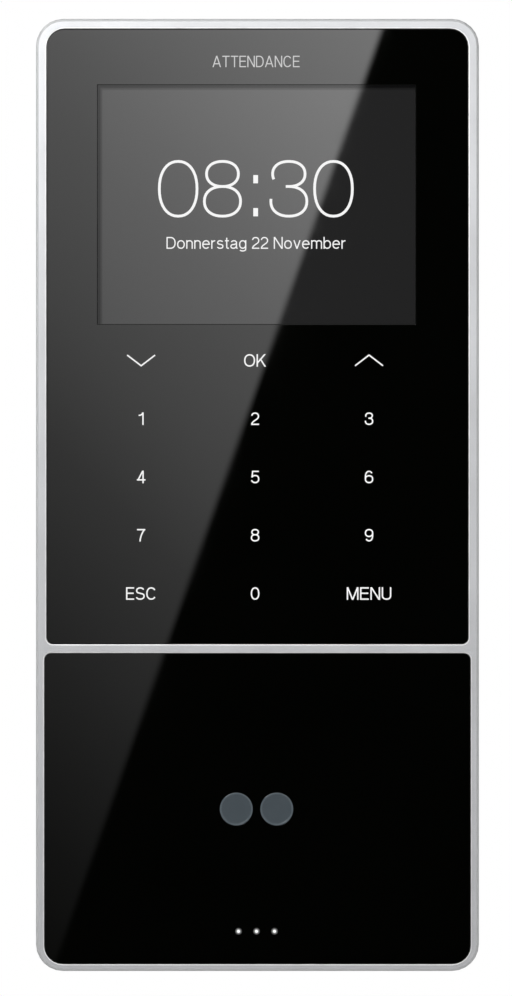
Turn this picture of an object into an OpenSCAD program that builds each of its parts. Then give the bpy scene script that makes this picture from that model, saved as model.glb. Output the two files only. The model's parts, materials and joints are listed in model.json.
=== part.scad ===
// Wall-hung punch time clock: a silver case with two black front panels, a display,
// touch keys lit from behind, a badge reader and two camera windows.
// The wall is the plane y = 0 and the front faces -Y. The origin is the centre of the
// wall plate's back face, half way up the case. "Depth" below is the distance from the
// wall, so a point at depth d lies at y = -d.

/* [Case] */
// Width of the case
case_w = 93.5; // [92:0.1:100]
// Height of the case
case_h = 201; // [199:0.5:206]
// Depth from the wall to the silver front face
case_d = 33; // [33:0.1:34]
// Corner radius of the case, seen from the front
case_corner_r = 5.7; // [4:0.1:7]
// Gap between the back edge of the case and the wall
wall_gap = 0.3; // [0.2:0.1:0.5]
// Depth at which the dark rear cover meets the silver frame
seam_depth = 16; // [15:0.5:17]
// Wall thickness of the rear cover
cover_wall = 2; // [1.8:0.1:2.2]

/* [Front panels] */
// Width of the silver rim beside the upper panel
upper_rim = 2.3; // [2:0.1:2.6]
// Width of the silver rim beside the lower panel
lower_rim = 1.85; // [1.8:0.05:2.4]
// Width of the silver rim above the upper panel
top_rim = 2.2; // [1.8:0.1:2.6]
// Width of the silver rim below the lower panel
bottom_rim = 1.6; // [1.5:0.1:2.4]
// Height of the silver bar between the panels
bar_h = 2.1; // [1.8:0.1:2.6]
// Height of the upper panel
upper_panel_h = 129.7; // [128:0.1:131]
// Thickness of both panels
panel_t = 2; // [1.8:0.1:2.2]
// How far the panels lie below the silver front face
panel_inset = 0.2; // [0.1:0.05:0.3]
// Gap round each panel
panel_gap = 0.15; // [0.05:0.05:0.2]
// Radius of the upper panel's top corners and the lower panel's bottom corners
panel_outer_r = 3.8; // [3:0.1:4.5]
// Radius of the panels' corners next to the bar
panel_inner_r = 1.3; // [1:0.1:2]

/* [Display] */
// Width of the display window
display_w = 67.2; // [64:0.1:68]
// Height of the display window
display_h = 50.6; // [48:0.1:51]
// Distance from the upper panel's top edge to the display window
display_drop = 11.7; // [11.5:0.1:13]
// Sideways offset of the display window
display_offset = -0.2; // [-0.5:0.1:0.5]
// How far the display's glass lies below the panel's face
display_inset = 0.3; // [0.2:0.05:0.5]

/* [Keys] */
// Distance between two touch keys in a row
key_pitch_x = 24.05; // [22:0.05:25]
// Distance between two rows of touch keys
key_pitch_z = 12.3; // [12:0.1:12.4]
// Height of the top row's middle
key_top_z = 28.4; // [28.4:0.1:28.8]
// Sideways offset of the middle column
key_offset_x = -0.5; // [-1:0.1:1]

/* [Lower panel] */
// Diameter of each camera window
camera_window_dia = 7; // [6.5:0.1:7.2]
// Distance between the camera windows
camera_pitch = 8.55; // [8.4:0.05:9.5]
// Height of the camera windows' middle
camera_z = -66.3; // [-68:0.1:-65]
// Diameter of each status light
light_dia = 0.95; // [0.8:0.05:1.2]
// Distance between the status lights
light_pitch = 3.8; // [3.5:0.1:4.5]
// Height of the status lights' middle
light_z = -92.1; // [-92.5:0.1:-91.5]

/* [Wall plate] */
// Width of the wall plate
plate_w = 72; // [70:0.5:72]
// Height of the wall plate
plate_h = 176; // [174:0.5:176]
// Thickness of the plate's sheet steel
plate_t = 1.5; // [1.2:0.1:1.6]
// Distance between the wall screws, sideways
wall_hole_x = 56; // [54:0.5:58]
// Distance between the wall screws, up and down
wall_hole_z = 158; // [156:1:160]
// Radius of the wall screw holes
wall_hole_r = 2.25; // [2:0.05:2.5]
// How far the terminal lifts to come off the plate's hooks
lift_travel = 5; // [4.5:0.1:5]

/* [Lock screw] */
// Radius of the lock screw's thread
lock_screw_r = 1.45; // [1.4:0.01:1.46]
// How far the lock screw backs out
lock_travel = 3.5; // [3:0.1:3.5]

/* [Hidden] */

$fn = 48;
eps = 0.01;
cut = 1;
corner_steps = 6;

half_w = case_w / 2;
half_h = case_h / 2;

// Panels, their ledge and their tape
upper_z = [half_h - top_rim - upper_panel_h, half_h - top_rim];
lower_z = [-half_h + bottom_rim, upper_z[0] - bar_h];
upper_x = [-half_w + upper_rim, half_w - upper_rim];
lower_x = [-half_w + lower_rim, half_w - lower_rim];
panel_face = case_d - panel_inset;
panel_back = panel_face - panel_t;
tape_t = 0.3;
ledge_face = panel_back - tape_t;
ledge_t = 1.6;
ledge_back = ledge_face - ledge_t;
ledge_w = 3;
frame_wall = 1.7;

// Display
display_x = [display_offset - display_w / 2, display_offset + display_w / 2];
display_z = [upper_z[1] - display_drop - display_h, upper_z[1] - display_drop];
display_face = panel_face - display_inset;
display_fit = 0.05;
gasket_t = 0.5;
module_face = panel_back - gasket_t;
module_back = module_face - 4;
module_border = 2.6;
module_x = [display_x[0] - module_border, display_x[1] + module_border];
module_z = [display_z[0] - module_border + 0.4, display_z[1] + module_border];

// Touch keys: the film, the light guide and the board lie behind the upper panel
key_xs = [for (i = [-1 : 1]) key_offset_x + i * key_pitch_x];
key_zs = [for (i = [0 : 4]) key_top_z - i * key_pitch_z];
keys_x = [-40.5, 40.5];
keys_z = [upper_z[0] + ledge_w + 0.4, module_z[0] - 1];
film_t = 0.5;
guide_t = 2;
film_back = panel_back - film_t;
guide_back = film_back - guide_t;
key_board_back = guide_back - 1.6;
led_hole_r = 1.4;
led_half = [0.8, 0.4];
led_t = 0.7;

// Camera group behind the lower panel, which stands a little left of the middle
lower_offset = -0.2;
camera_xs = [lower_offset - camera_pitch / 2, lower_offset + camera_pitch / 2];
reader_back = panel_back - 1;
reader_x = [-36, 36];
reader_z = [-88, -40];
reader_cut = [13, 6];
coil_half = [34.5, 22.5];
coil_turns = 3;
coil_pitch = 1.2;
coil_w = 0.6;
coil_t = 0.1;
bracket_half = [12, 5];
camera_board_x = [-16, 16];
camera_board_z = [camera_z - 7, camera_z + 7];
camera_board_face = 27.2;
camera_board_t = 1.2;
barrel_r = 3.1;
barrel_face = panel_back - 0.4;

// Status lights
light_xs = [for (i = [-1 : 1]) lower_offset + i * light_pitch];
status_x = [-9, 8.6];
status_z = [light_z - 2.4, light_z + 2.4];
pipe_bar_back = panel_back - 1;

// Rear cover: a recess for the wall plate, with a floor behind the wall screws' heads
recess_depth = 4.2;
recess_gap = 0.6;
recess_x = [-plate_w / 2 - recess_gap, plate_w / 2 + recess_gap];
recess_z = [-plate_h / 2 - lift_travel - 1, plate_h / 2 + recess_gap];
inner_back = recess_depth + cover_wall;
lip_depth = 2.5;
lip_gap = 0.1;
lip_t = 1.2;
shell_t = upper_rim + lip_gap + lip_t;
strip_back = wall_gap + cover_wall;

// Port bay: a pocket open to the wall, with the sockets in its top wall facing down
bay_x = [-32, 26];
bay_z = [-76, -47.5];
bay_front = 22;
bay_wall = 1.5;
bay_top = bay_z[1] + bay_wall;
socket_gap = 0.2;

// Main board and what stands on it
board_back = 20;
board_t = 1.6;
board_face = board_back + board_t;
board_x = [-38, 38];
board_z = [bay_top + 0.4, 62];
board_hole_x = 34;
board_hole_z = [-38, 50];
board_hole_r = 1.6;
board_screw_r = 1.2;
board_head_r = 2.3;
board_head_h = 1.5;
board_screw_grip = 8;
pilot_length = 9;
pilot_gap = 0.05;
post_r = 2.5;

cable_t = 0.25;
plug_h = 4;
plug_gap = 0.02;
plug_t = 1.6;
plug_d = 22.6;
display_cable_x = [-8, 8];
key_cable_x = [-26, -14];
camera_cable_x = [4, 12];
display_plug_z = [module_z[0] - 10, module_z[0] - 10 + plug_h];
key_plug_z = [keys_z[0] - 7.4, keys_z[0] - 7.4 + plug_h];
camera_plug_z = [board_z[0] + 3.6, board_z[0] + 3.6 + plug_h];

network_x = [-26.5, -10.5];
network_back = 6.6;
network_top = -25.5;
power_x = [-7.5, 1.5];
power_back = 9;
power_top = -33;
usb_x = [6, 19.2];
usb_d = [13, 18.8];
usb_top = -33;
socket_face = bay_z[1] + 0.1;
plug_bore = [socket_face - cut, socket_face + 13];
plug_half_w = 5.9;
plug_range = [network_back + 1.4, network_back + 9.2];
latch_half_w = 3.2;
latch_range = [network_back + 9, network_back + 11.6];
power_mid = [(power_x[0] + power_x[1]) / 2, power_back + 5.2];
power_bore_r = 2.75;
power_pin_r = 1.05;
power_deep = 10;
usb_wall = 0.4;
usb_floor = 2;
tongue_side = 1.4;
tongue_d = [usb_d[1] - 2.2, usb_d[1] - 0.5];

reset_x = 23;
reset_depth = 17;
reset_r = 0.8;
reset_travel = 0.3;

// Case screws, up from the back through tubes in the cover into the frame's bosses
case_screw_x = 40.5;
case_screw_z = 94;
case_screw_r = 1.4;
case_boss_r = 3.4;
frame_boss_r = 2.6;
screw_head_h = 2;
case_head_r = 2.7;
head_gap = 0.2;
screw_sink = 0.3;
case_screw_grip = 9;

// Cross recess of a screw head, as shares of the head's radius
recess_arm = 0.62;
recess_slot = 0.14;

// Hooks of the wall plate and their slots in the cover
hook_x = 31;
hook_w = 7;
hook_z = [68, -12];
finger_h = 4;
finger_gap = 0.3;
finger_back = inner_back + finger_gap;
slot_h = finger_h + lift_travel - 2;
slot_side = 0.6;
hang_gap = 0.05;

// Lock screw: it stands in the plate's flange and reaches up into an insert
lock_depth = 8;
flange_top = -plate_h / 2 + plate_t;
flange_reach = 13;
flange_w = 16;
lock_head_r = 2.75;
lock_head_h = 2.3;
lock_recess_h = 1.3;
washer_t = 0.8;
washer_r = 3;
washer_z = flange_top + lock_travel + 0.1;
insert_z = washer_z + washer_t + 1;
insert_h = 5;
insert_r = lock_screw_r + 0.74;
engaged = lock_travel - 0.1;
lock_tip = insert_z + engaged;
notch_x = 9;
notch_front = 14.5;
notch_top = insert_z - 0.4;
boss_half = 4;
run_gap = 0.1;

// Speaker, facing the wall through slots in the recess floor
speaker_x = 0;
speaker_z = 76;
speaker_r = 11;
speaker_face = inner_back + 0.1;
speaker_back = speaker_face + 5;
cone_r = 9;
cone_face = speaker_face + 1.2;
cone_back = cone_face + 0.8;
sound_slots = 2;
sound_pitch = 3.2;
sound_half_w = 0.7;
sound_half_h = 7;
magnet_r = 5.9;
magnet_t = 3;

// Tamper switch on the main board, its plunger held in by the wall plate
tamper_x = 0;
tamper_z = 40;
tamper_half = 4;
tamper_face = 12;
tamper_rod_r = 1.5;
tamper_disc_r = 2.3;
tamper_bore_r = 2.6;
tamper_end = 19;
tamper_disc = [13.6, 14.6];
tamper_gap = 0.06;
spring_r = 1.7;
spring_wire_r = 0.2;
spring_turns = 4;
spring_steps = 14;
spring_sides = 8;

// What stands on the main board: left edge, foot, width, height and thickness
chips = [
    [-20, -14, 14, 14, 1.5], [-20, 6, 9, 13, 1.2], [-2, -10, 12, 8, 1.1],
    [20, -22, 6, 6, 1], [-36, -24, 5, 6, 1.4], [14, 2, 7, 5, 1.2]
];
radio = [15, 41, 14, 17, 2.4];

// Clock cell
cell_x = 18;
cell_z = 12;
cell_r = 10;
cell_d = [14.8, 18];
holder_half = 12;
holder_lip = 0.8;
finger_half = 4;

// ---------------------------------------------------------------- helpers

// A box given by its ranges across, up and in depth
module block(x, z, d) {
    translate([x[0], -d[1], z[0]]) cube([x[1] - x[0], d[1] - d[0], z[1] - z[0]]);
}

// A flat outline in x and z, made solid over a range of depths
module through(d) {
    translate([0, -d[0], 0]) rotate([90, 0, 0]) linear_extrude(d[1] - d[0]) children();
}

// A round bar along the depth
module bar_in(x, z, r, d) {
    translate([x, -d[0], z]) rotate([90, 0, 0]) cylinder(r = r, h = d[1] - d[0]);
}

// A round bar along the height
module bar_up(x, d, r, z) {
    translate([x, -d, z[0]]) cylinder(r = r, h = z[1] - z[0]);
}

function corner(cx, cz, r, start) = [
    for (i = [0 : corner_steps])
        let (a = start + 90 * i / corner_steps) [cx + r * cos(a), cz + r * sin(a)]
];

// A rectangle with one radius for its top corners and one for its bottom corners
module rounded(x, z, top_r, bottom_r) {
    polygon(concat(
        corner(x[1] - top_r, z[1] - top_r, top_r, 0),
        corner(x[0] + top_r, z[1] - top_r, top_r, 90),
        corner(x[0] + bottom_r, z[0] + bottom_r, bottom_r, 180),
        corner(x[1] - bottom_r, z[0] + bottom_r, bottom_r, 270)
    ));
}

// The case's outline, moved in from its edge
module case_outline(inset) {
    rounded([-half_w + inset, half_w - inset], [-half_h + inset, half_h - inset],
        case_corner_r - inset, case_corner_r - inset);
}

function grow(range, by) = [range[0] - by, range[1] + by];

module upper_outline(by) {
    rounded(grow(upper_x, by), grow(upper_z, by), panel_outer_r + by, panel_inner_r + by);
}

module lower_outline(by) {
    rounded(grow(lower_x, by), grow(lower_z, by), panel_inner_r + by, panel_outer_r + by);
}

module ledge_openings(d) {
    through(d) rounded(grow(upper_x, -ledge_w), grow(upper_z, -ledge_w), 1, 1);
    through(d) rounded(grow(lower_x, -ledge_w), grow(lower_z, -ledge_w), 1, 1);
}

// A thin strip that follows points given as [depth, height], for flat cables
function along(p, i) = p[min(i + 1, len(p) - 1)] - p[max(i - 1, 0)];
function beside(p, i, t) = let (v = along(p, i)) p[i] + t * [-v[1], v[0]] / norm(v);

module strip(x, path, t) {
    edge = [for (i = [len(path) - 1 : -1 : 0]) beside(path, i, t)];
    translate([x[1], 0, 0]) rotate([90, 0, -90])
        linear_extrude(x[1] - x[0]) polygon(concat(path, edge));
}

// A screw along the depth: its head's face is at the first depth, its tip at the last
module screw_in(x, z, r, head_r, head_h, d) {
    difference() {
        union() {
            bar_in(x, z, head_r, [d[0], d[0] + head_h]);
            bar_in(x, z, r, [d[0] + head_h - eps, d[1]]);
        }
        cross_recess(x, z, head_r, [d[0] - cut, d[0] + head_h * 0.55]);
    }
}

module cross_recess(x, z, head_r, d) {
    arm = head_r * recess_arm;
    slot = head_r * recess_slot;
    block([x - arm, x + arm], [z - slot, z + slot], d);
    block([x - slot, x + slot], [z - arm, z + arm], d);
}

module each_case_screw() {
    for (x = [-case_screw_x, case_screw_x], z = [-case_screw_z, case_screw_z])
        translate([x, 0, z]) children();
}

module each_board_screw() {
    for (x = [-board_hole_x, board_hole_x], z = board_hole_z) translate([x, 0, z]) children();
}

module each_key() {
    for (x = key_xs, z = key_zs) translate([x, 0, z]) children();
}

// ---------------------------------------------------------------- wall side

module hook(x, z) {
    half = hook_w / 2;
    block([x - half, x + half], [z - plate_t, z], [plate_t - eps, finger_back + plate_t]);
    block([x - half, x + half], [z - plate_t, z + finger_h],
        [finger_back, finger_back + plate_t]);
}

module wall_plate() {
    color("lightslategray") difference() {
        union() {
            through([0, plate_t])
                rounded([-plate_w / 2, plate_w / 2], [-plate_h / 2, plate_h / 2], 3, 3);
            for (x = [-hook_x, hook_x], z = hook_z) hook(x, z);
            block([-flange_w / 2, flange_w / 2], [flange_top - plate_t, flange_top],
                [plate_t - eps, flange_reach]);
        }
        for (x = [-wall_hole_x / 2, wall_hole_x / 2], z = [-wall_hole_z / 2, wall_hole_z / 2])
            bar_in(x, z, wall_hole_r, [-cut, plate_t + cut]);
        block(grow(bay_x, -2), grow(bay_z, -2), [-cut, plate_t + cut]);
        bar_in(speaker_x, speaker_z, cone_r, [-cut, plate_t + cut]);
        bar_up(0, lock_depth, lock_screw_r + 0.4, [flange_top - plate_t - cut, flange_top + cut]);
    }
}

module lock_screw() {
    bottom = flange_top - plate_t - 0.05 - lock_head_h;
    color("silver") difference() {
        union() {
            bar_up(0, lock_depth, lock_head_r, [bottom, bottom + lock_head_h]);
            bar_up(0, lock_depth, lock_screw_r, [bottom + lock_head_h - eps, lock_tip]);
        }
        arm = lock_head_r * recess_arm;
        slot = lock_head_r * recess_slot;
        recess = [bottom - cut, bottom + lock_recess_h];
        block([-arm, arm], recess, [lock_depth - slot, lock_depth + slot]);
        block([-slot, slot], recess, [lock_depth - arm, lock_depth + arm]);
    }
}

module lock_washer() {
    color("ivory") difference() {
        bar_up(0, lock_depth, washer_r, [washer_z, washer_z + washer_t]);
        bar_up(0, lock_depth, lock_screw_r + 0.05, [washer_z - cut, washer_z + washer_t + cut]);
    }
}

// ---------------------------------------------------------------- case

module rear_shell() {
    through([wall_gap, seam_depth]) case_outline(0);
    through([seam_depth - eps, seam_depth + lip_depth]) case_outline(shell_t - lip_t);
}

module rear_hollow() {
    through([inner_back, seam_depth + lip_depth + cut]) case_outline(shell_t);
    through([strip_back, inner_back + eps]) difference() {
        case_outline(shell_t);
        translate([recess_x[0] - cover_wall, recess_z[0] - cover_wall])
            square([recess_x[1] - recess_x[0] + 2 * cover_wall,
                recess_z[1] - recess_z[0] + 2 * cover_wall]);
    }
}

module port_block(d) {
    block(grow(bay_x, bay_wall), [bay_z[0] - bay_wall, bay_top], d);
}

module lock_block(d) {
    block([-notch_x - cover_wall, notch_x + cover_wall],
        [-half_h + shell_t, notch_top + cover_wall], d);
}

module lock_boss(d) {
    block([-boss_half, boss_half], [notch_top, bay_z[0] - bay_wall], d);
}

module lock_notch() {
    block([-notch_x, notch_x], [-half_h - cut, notch_top], [-cut, notch_front]);
}

module insert_bore() {
    bar_up(0, lock_depth, insert_r + 0.01, [notch_top - cut, insert_z + insert_h + cut]);
}

// The outer walls and the strip round the recess, with tubes for the case screws
module rear_cover() {
    color("#2b2d30") difference() {
        union() {
            difference() {
                rear_shell();
                rear_hollow();
            }
            each_case_screw() bar_in(0, 0, case_boss_r, [strip_back, seam_depth]);
        }
        block(recess_x, recess_z, [-cut, inner_back + cut]);
        lock_block([strip_back, notch_front + cover_wall]);
        lock_notch();
        each_case_screw() {
            bar_in(0, 0, case_screw_r + 0.2, [-cut, seam_depth + cut]);
            bar_in(0, 0, case_head_r + head_gap,
                [-cut, wall_gap + screw_sink + screw_head_h]);
        }
    }
}

// The floor behind the wall plate: slots for its hooks, the speaker's slots and the
// board's posts
module recess_floor() {
    color("#2f3134") difference() {
        union() {
            block(recess_x, recess_z, [recess_depth, inner_back]);
            each_board_screw() bar_in(0, 0, post_r, [inner_back - eps, board_back]);
        }
        port_block([recess_depth - cut, inner_back + cut]);
        lock_block([recess_depth - cut, inner_back + cut]);
        lock_boss([recess_depth - cut, inner_back + cut]);
        for (x = [-hook_x, hook_x], z = hook_z)
            block([x - hook_w / 2 - slot_side, x + hook_w / 2 + slot_side],
                [z - slot_h, z + hang_gap], [recess_depth - cut, inner_back + cut]);
        bar_in(tamper_x, tamper_z, tamper_rod_r + 0.3, [recess_depth - cut, inner_back + cut]);
        for (i = [-sound_slots : sound_slots])
            block(grow([1, 1] * (speaker_x + i * sound_pitch), sound_half_w),
                grow([1, 1] * speaker_z, sound_half_h - abs(i)),
                [recess_depth - cut, inner_back + cut]);
        each_board_screw()
            bar_in(0, 0, board_screw_r + pilot_gap, [board_back - pilot_length, board_back + cut]);
    }
}

module socket_opening(x, d) {
    block(grow(x, socket_gap), [bay_z[1] - cut, bay_top + cut], grow(d, socket_gap));
}

// The pocket for the plugs
module port_tray() {
    color("#33353a") difference() {
        port_block([recess_depth, bay_front + bay_wall]);
        block(bay_x, bay_z, [-cut, bay_front]);
        socket_opening(network_x, [network_back, board_back]);
        socket_opening(power_x, [power_back, board_back]);
        socket_opening(usb_x, usb_d);
        bar_up(reset_x, reset_depth, reset_r + 0.3, [bay_z[1] - cut, bay_top + cut]);
        insert_bore();
    }
}

// The walls round the lock screw's notch, with a boss for its insert
module lock_housing() {
    color("#33353a") difference() {
        union() {
            lock_block([strip_back, notch_front + cover_wall]);
            lock_boss([recess_depth, lock_depth + boss_half]);
        }
        block(recess_x, recess_z, [-cut, recess_depth]);
        lock_notch();
        insert_bore();
    }
}

module front_frame() {
    color("lightgray") difference() {
        union() {
            difference() {
                through([seam_depth, case_d]) case_outline(0);
                through([seam_depth - cut, ledge_back]) case_outline(frame_wall);
                through([seam_depth - cut, seam_depth + lip_depth + lip_gap])
                    case_outline(upper_rim);
            }
            each_case_screw() bar_in(0, 0, frame_boss_r, [seam_depth + 0.02, ledge_back + eps]);
        }
        through([ledge_face, case_d + cut]) upper_outline(panel_gap);
        through([ledge_face, case_d + cut]) lower_outline(panel_gap);
        ledge_openings([ledge_back - cut, ledge_face + cut]);
        each_case_screw()
            bar_in(0, 0, case_screw_r + pilot_gap, [seam_depth - cut, ledge_back - 1]);
    }
}

module case_screws() {
    color("dimgray") each_case_screw()
        screw_in(0, 0, case_screw_r, case_head_r, screw_head_h,
            [wall_gap + screw_sink, seam_depth + case_screw_grip]);
}

module lock_insert() {
    color("goldenrod") difference() {
        bar_up(0, lock_depth, insert_r, [insert_z, insert_z + insert_h]);
        bar_up(0, lock_depth, lock_screw_r + run_gap, [insert_z - cut, insert_z + insert_h + cut]);
    }
}

// ---------------------------------------------------------------- front

module upper_panel() {
    color("#101214") difference() {
        through([panel_back, panel_face]) upper_outline(0);
        block(display_x, display_z, [panel_back - cut, panel_face + cut]);
    }
}

module lower_panel() {
    color("#101214") difference() {
        through([panel_back, panel_face]) lower_outline(0);
        for (x = camera_xs)
            bar_in(x, camera_z, camera_window_dia / 2 + 0.03, [panel_back - cut, panel_face + cut]);
        for (x = light_xs)
            bar_in(x, light_z, light_dia / 2 + 0.03, [panel_back - cut, panel_face + cut]);
    }
}

module upper_panel_tape() {
    color("dimgray") through([ledge_face, panel_back]) difference() {
        upper_outline(-0.4);
        rounded(grow(upper_x, -ledge_w), grow(upper_z, -ledge_w), 1, 1);
    }
}

module lower_panel_tape() {
    color("dimgray") through([ledge_face, panel_back]) difference() {
        lower_outline(-0.4);
        rounded(grow(lower_x, -ledge_w), grow(lower_z, -ledge_w), 1, 1);
    }
}

module display_glass() {
    color("#26282a") block(grow(display_x, -display_fit), grow(display_z, -display_fit),
        [module_face, display_face]);
}

module display_backlight() {
    color("whitesmoke") block(module_x, module_z, [module_back, module_face]);
}

module display_gasket() {
    color("#303030") difference() {
        block(module_x, module_z, [module_face, panel_back]);
        block(grow(display_x, 0.3), grow(display_z, 0.3), [module_face - cut, panel_back + cut]);
    }
}

module display_cable() {
    color("peru") strip(display_cable_x, [
        [module_back, module_z[0] + 9], [module_back, module_z[0] + 3],
        [module_back - 0.3, module_z[0] + 1], [25.2, module_z[0] - 0.6],
        [23.4, module_z[0] - 2.2], [plug_d, module_z[0] - 4],
        [plug_d, display_plug_z[1] + plug_gap]
    ], -cable_t);
}

module touch_film() {
    color("#3a4048") block(keys_x, keys_z, [film_back, panel_back]);
}

module light_guide() {
    color("white") difference() {
        block(keys_x, keys_z, [guide_back, film_back]);
        each_key() bar_in(0, 0, led_hole_r, [guide_back - cut, film_back + cut]);
    }
}

module key_board() {
    color("darkgreen") block(keys_x, keys_z, [key_board_back, guide_back]);
}

module key_leds() {
    color("lightyellow") each_key()
        block(grow([0, 0], led_half[0]), grow([0, 0], led_half[1]), [guide_back, guide_back + led_t]);
}

module key_cable() {
    color("peru") strip(key_cable_x, [
        [key_board_back, keys_z[0] + 9], [key_board_back, keys_z[0] + 4],
        [key_board_back - 0.3, keys_z[0] + 2.4], [24.6, keys_z[0] + 0.8],
        [23.2, keys_z[0] - 0.4], [plug_d, keys_z[0] - 1.6],
        [plug_d, key_plug_z[1] + plug_gap]
    ], -cable_t);
}

// ---------------------------------------------------------------- lower front

module badge_reader_board() {
    color("darkgreen") difference() {
        block(reader_x, reader_z, [reader_back, panel_back]);
        block([-reader_cut[0], reader_cut[0]], grow([1, 1] * camera_z, reader_cut[1]),
            [reader_back - cut, panel_back + cut]);
    }
}

module badge_reader_coil() {
    middle = (reader_z[0] + reader_z[1]) / 2;
    color("chocolate") for (i = [0 : coil_turns - 1]) {
        x = grow([0, 0], coil_half[0] - coil_pitch * i);
        z = grow([middle, middle], coil_half[1] - coil_pitch * i);
        difference() {
            block(x, z, [reader_back - coil_t, reader_back]);
            block(grow(x, -coil_w), grow(z, -coil_w), [reader_back - cut, reader_back + cut]);
        }
    }
}

module camera_board() {
    color("darkgreen") block(camera_board_x, camera_board_z,
        [camera_board_face - camera_board_t, camera_board_face]);
}

module camera_bracket() {
    color("#222426") difference() {
        block(grow([0, 0], bracket_half[0]), grow([1, 1] * camera_z, bracket_half[1]),
            [camera_board_face, reader_back + 0.6]);
        for (x = camera_xs)
            bar_in(x, camera_z, barrel_r + 0.1, [camera_board_face - cut, panel_back + cut]);
    }
}

module camera_barrels() {
    color("#1b1c1e") for (x = camera_xs) difference() {
        bar_in(x, camera_z, barrel_r, [camera_board_face, barrel_face]);
        bar_in(x, camera_z, barrel_r - 0.6, [camera_board_face + 1.2, barrel_face + cut]);
    }
}

module camera_lenses() {
    color("#39424d") for (x = camera_xs)
        bar_in(x, camera_z, barrel_r - 0.65, [camera_board_face + 1.8, barrel_face - 0.4]);
}

module camera_windows() {
    color("#454b50") for (x = camera_xs)
        bar_in(x, camera_z, camera_window_dia / 2, [panel_back + 0.4, panel_face - 0.05]);
}

module camera_cable() {
    back = camera_board_face - camera_board_t;
    color("peru") strip(camera_cable_x, [
        [plug_d, camera_plug_z[0] - plug_gap], [plug_d + 0.1, board_z[0] + 2],
        [23.6, board_z[0]],
        [24.8, board_z[0] - 3], [back - 0.6, camera_board_z[1] + 4],
        [back - cable_t, camera_board_z[1] + 1], [back - cable_t, camera_board_z[1] - 5]
    ], cable_t);
}

module light_pipes() {
    color("white") {
        block(grow([light_xs[0], light_xs[2]], 1.5), [light_z - 1.2, light_z + 1.2],
            [pipe_bar_back, panel_back]);
        for (x = light_xs) bar_in(x, light_z, light_dia / 2, [panel_back - eps, panel_face]);
    }
}

module status_board() {
    color("darkgreen") block(status_x, status_z, [pipe_bar_back - 2, pipe_bar_back - 1]);
}

module status_leds() {
    color("lightyellow") for (x = light_xs)
        block([x - led_half[0], x + led_half[0]], [light_z - 0.5, light_z + 0.5],
            [pipe_bar_back - 1, pipe_bar_back - 0.2]);
}

// ---------------------------------------------------------------- electronics

module main_board() {
    color("darkgreen") difference() {
        block(board_x, board_z, [board_back, board_face]);
        each_board_screw() bar_in(0, 0, board_hole_r, [board_back - cut, board_face + cut]);
    }
}

module board_screws() {
    color("silver") each_board_screw() mirror([0, 1, 0])
        screw_in(0, 0, board_screw_r, board_head_r, board_head_h,
            [-board_face - board_head_h, -board_face + board_screw_grip]);
}

module chip(c) {
    block([c[0], c[0] + c[2]], [c[1], c[1] + c[3]], [board_face, board_face + c[4]]);
}

module board_chips() {
    color("#18191a") for (c = chips) chip(c);
}

// A flat-cable connector, a little wider than its cable
module plug(x, z) {
    block(grow(x, 1), z, [board_face, board_face + plug_t]);
}

module flex_connectors() {
    color("beige") {
        plug(display_cable_x, display_plug_z);
        plug(key_cable_x, key_plug_z);
        plug(camera_cable_x, camera_plug_z);
    }
}

module radio_module() {
    color("silver") chip(radio);
}

module clock_cell() {
    color("gainsboro") bar_in(cell_x, cell_z, cell_r, cell_d);
}

module cell_holder() {
    color("#202224") difference() {
        block(grow([1, 1] * cell_x, holder_half), grow([1, 1] * cell_z, holder_half),
            [cell_d[0] + holder_lip, board_back]);
        bar_in(cell_x, cell_z, cell_r + 0.2, [cell_d[0] - cut, cell_d[1]]);
        block(grow([1, 1] * cell_x, finger_half), [cell_z - holder_half - cut, cell_z - 8],
            [cell_d[0] - cut, cell_d[1]]);
    }
}

module network_socket() {
    middle = (network_x[0] + network_x[1]) / 2;
    color("silver") difference() {
        block(network_x, [socket_face, network_top], [network_back, board_back]);
        block([middle - plug_half_w, middle + plug_half_w], plug_bore, plug_range);
        block([middle - latch_half_w, middle + latch_half_w], plug_bore, latch_range);
    }
}

module power_socket() {
    color("#151617") difference() {
        block(power_x, [socket_face, power_top], [power_back, board_back]);
        bar_up(power_mid[0], power_mid[1], power_bore_r,
            [socket_face - cut, socket_face + power_deep]);
    }
}

module power_pin() {
    color("gold") bar_up(power_mid[0], power_mid[1], power_pin_r,
        [socket_face + 1, socket_face + power_deep]);
}

module usb_socket() {
    color("silver") difference() {
        block(usb_x, [socket_face, usb_top], usb_d);
        block(grow(usb_x, -usb_wall), [socket_face - cut, usb_top - usb_floor],
            grow(usb_d, -usb_wall));
    }
}

module usb_tongue() {
    color("white") block(grow(usb_x, -tongue_side), [socket_face + 1, usb_top - usb_floor],
        tongue_d);
}

// ---------------------------------------------------------------- speaker

module speaker_frame() {
    color("#2a2a2a") difference() {
        bar_in(speaker_x, speaker_z, speaker_r, [speaker_face, speaker_back]);
        bar_in(speaker_x, speaker_z, cone_r + 0.3, [speaker_face - cut, speaker_back - 1]);
        bar_in(speaker_x, speaker_z, magnet_r + run_gap, [speaker_back - 2, speaker_back + cut]);
    }
}

module speaker_magnet() {
    color("gray") bar_in(speaker_x, speaker_z, magnet_r,
        [speaker_back - 1, speaker_back - 1 + magnet_t]);
}

module speaker_diaphragm() {
    color("#505050") difference() {
        bar_in(speaker_x, speaker_z, cone_r, [cone_face, cone_back]);
        bar_in(speaker_x, speaker_z, cone_r - 2.2, [cone_face - cut, cone_face + 0.3]);
    }
}

// ---------------------------------------------------------------- switches

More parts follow.
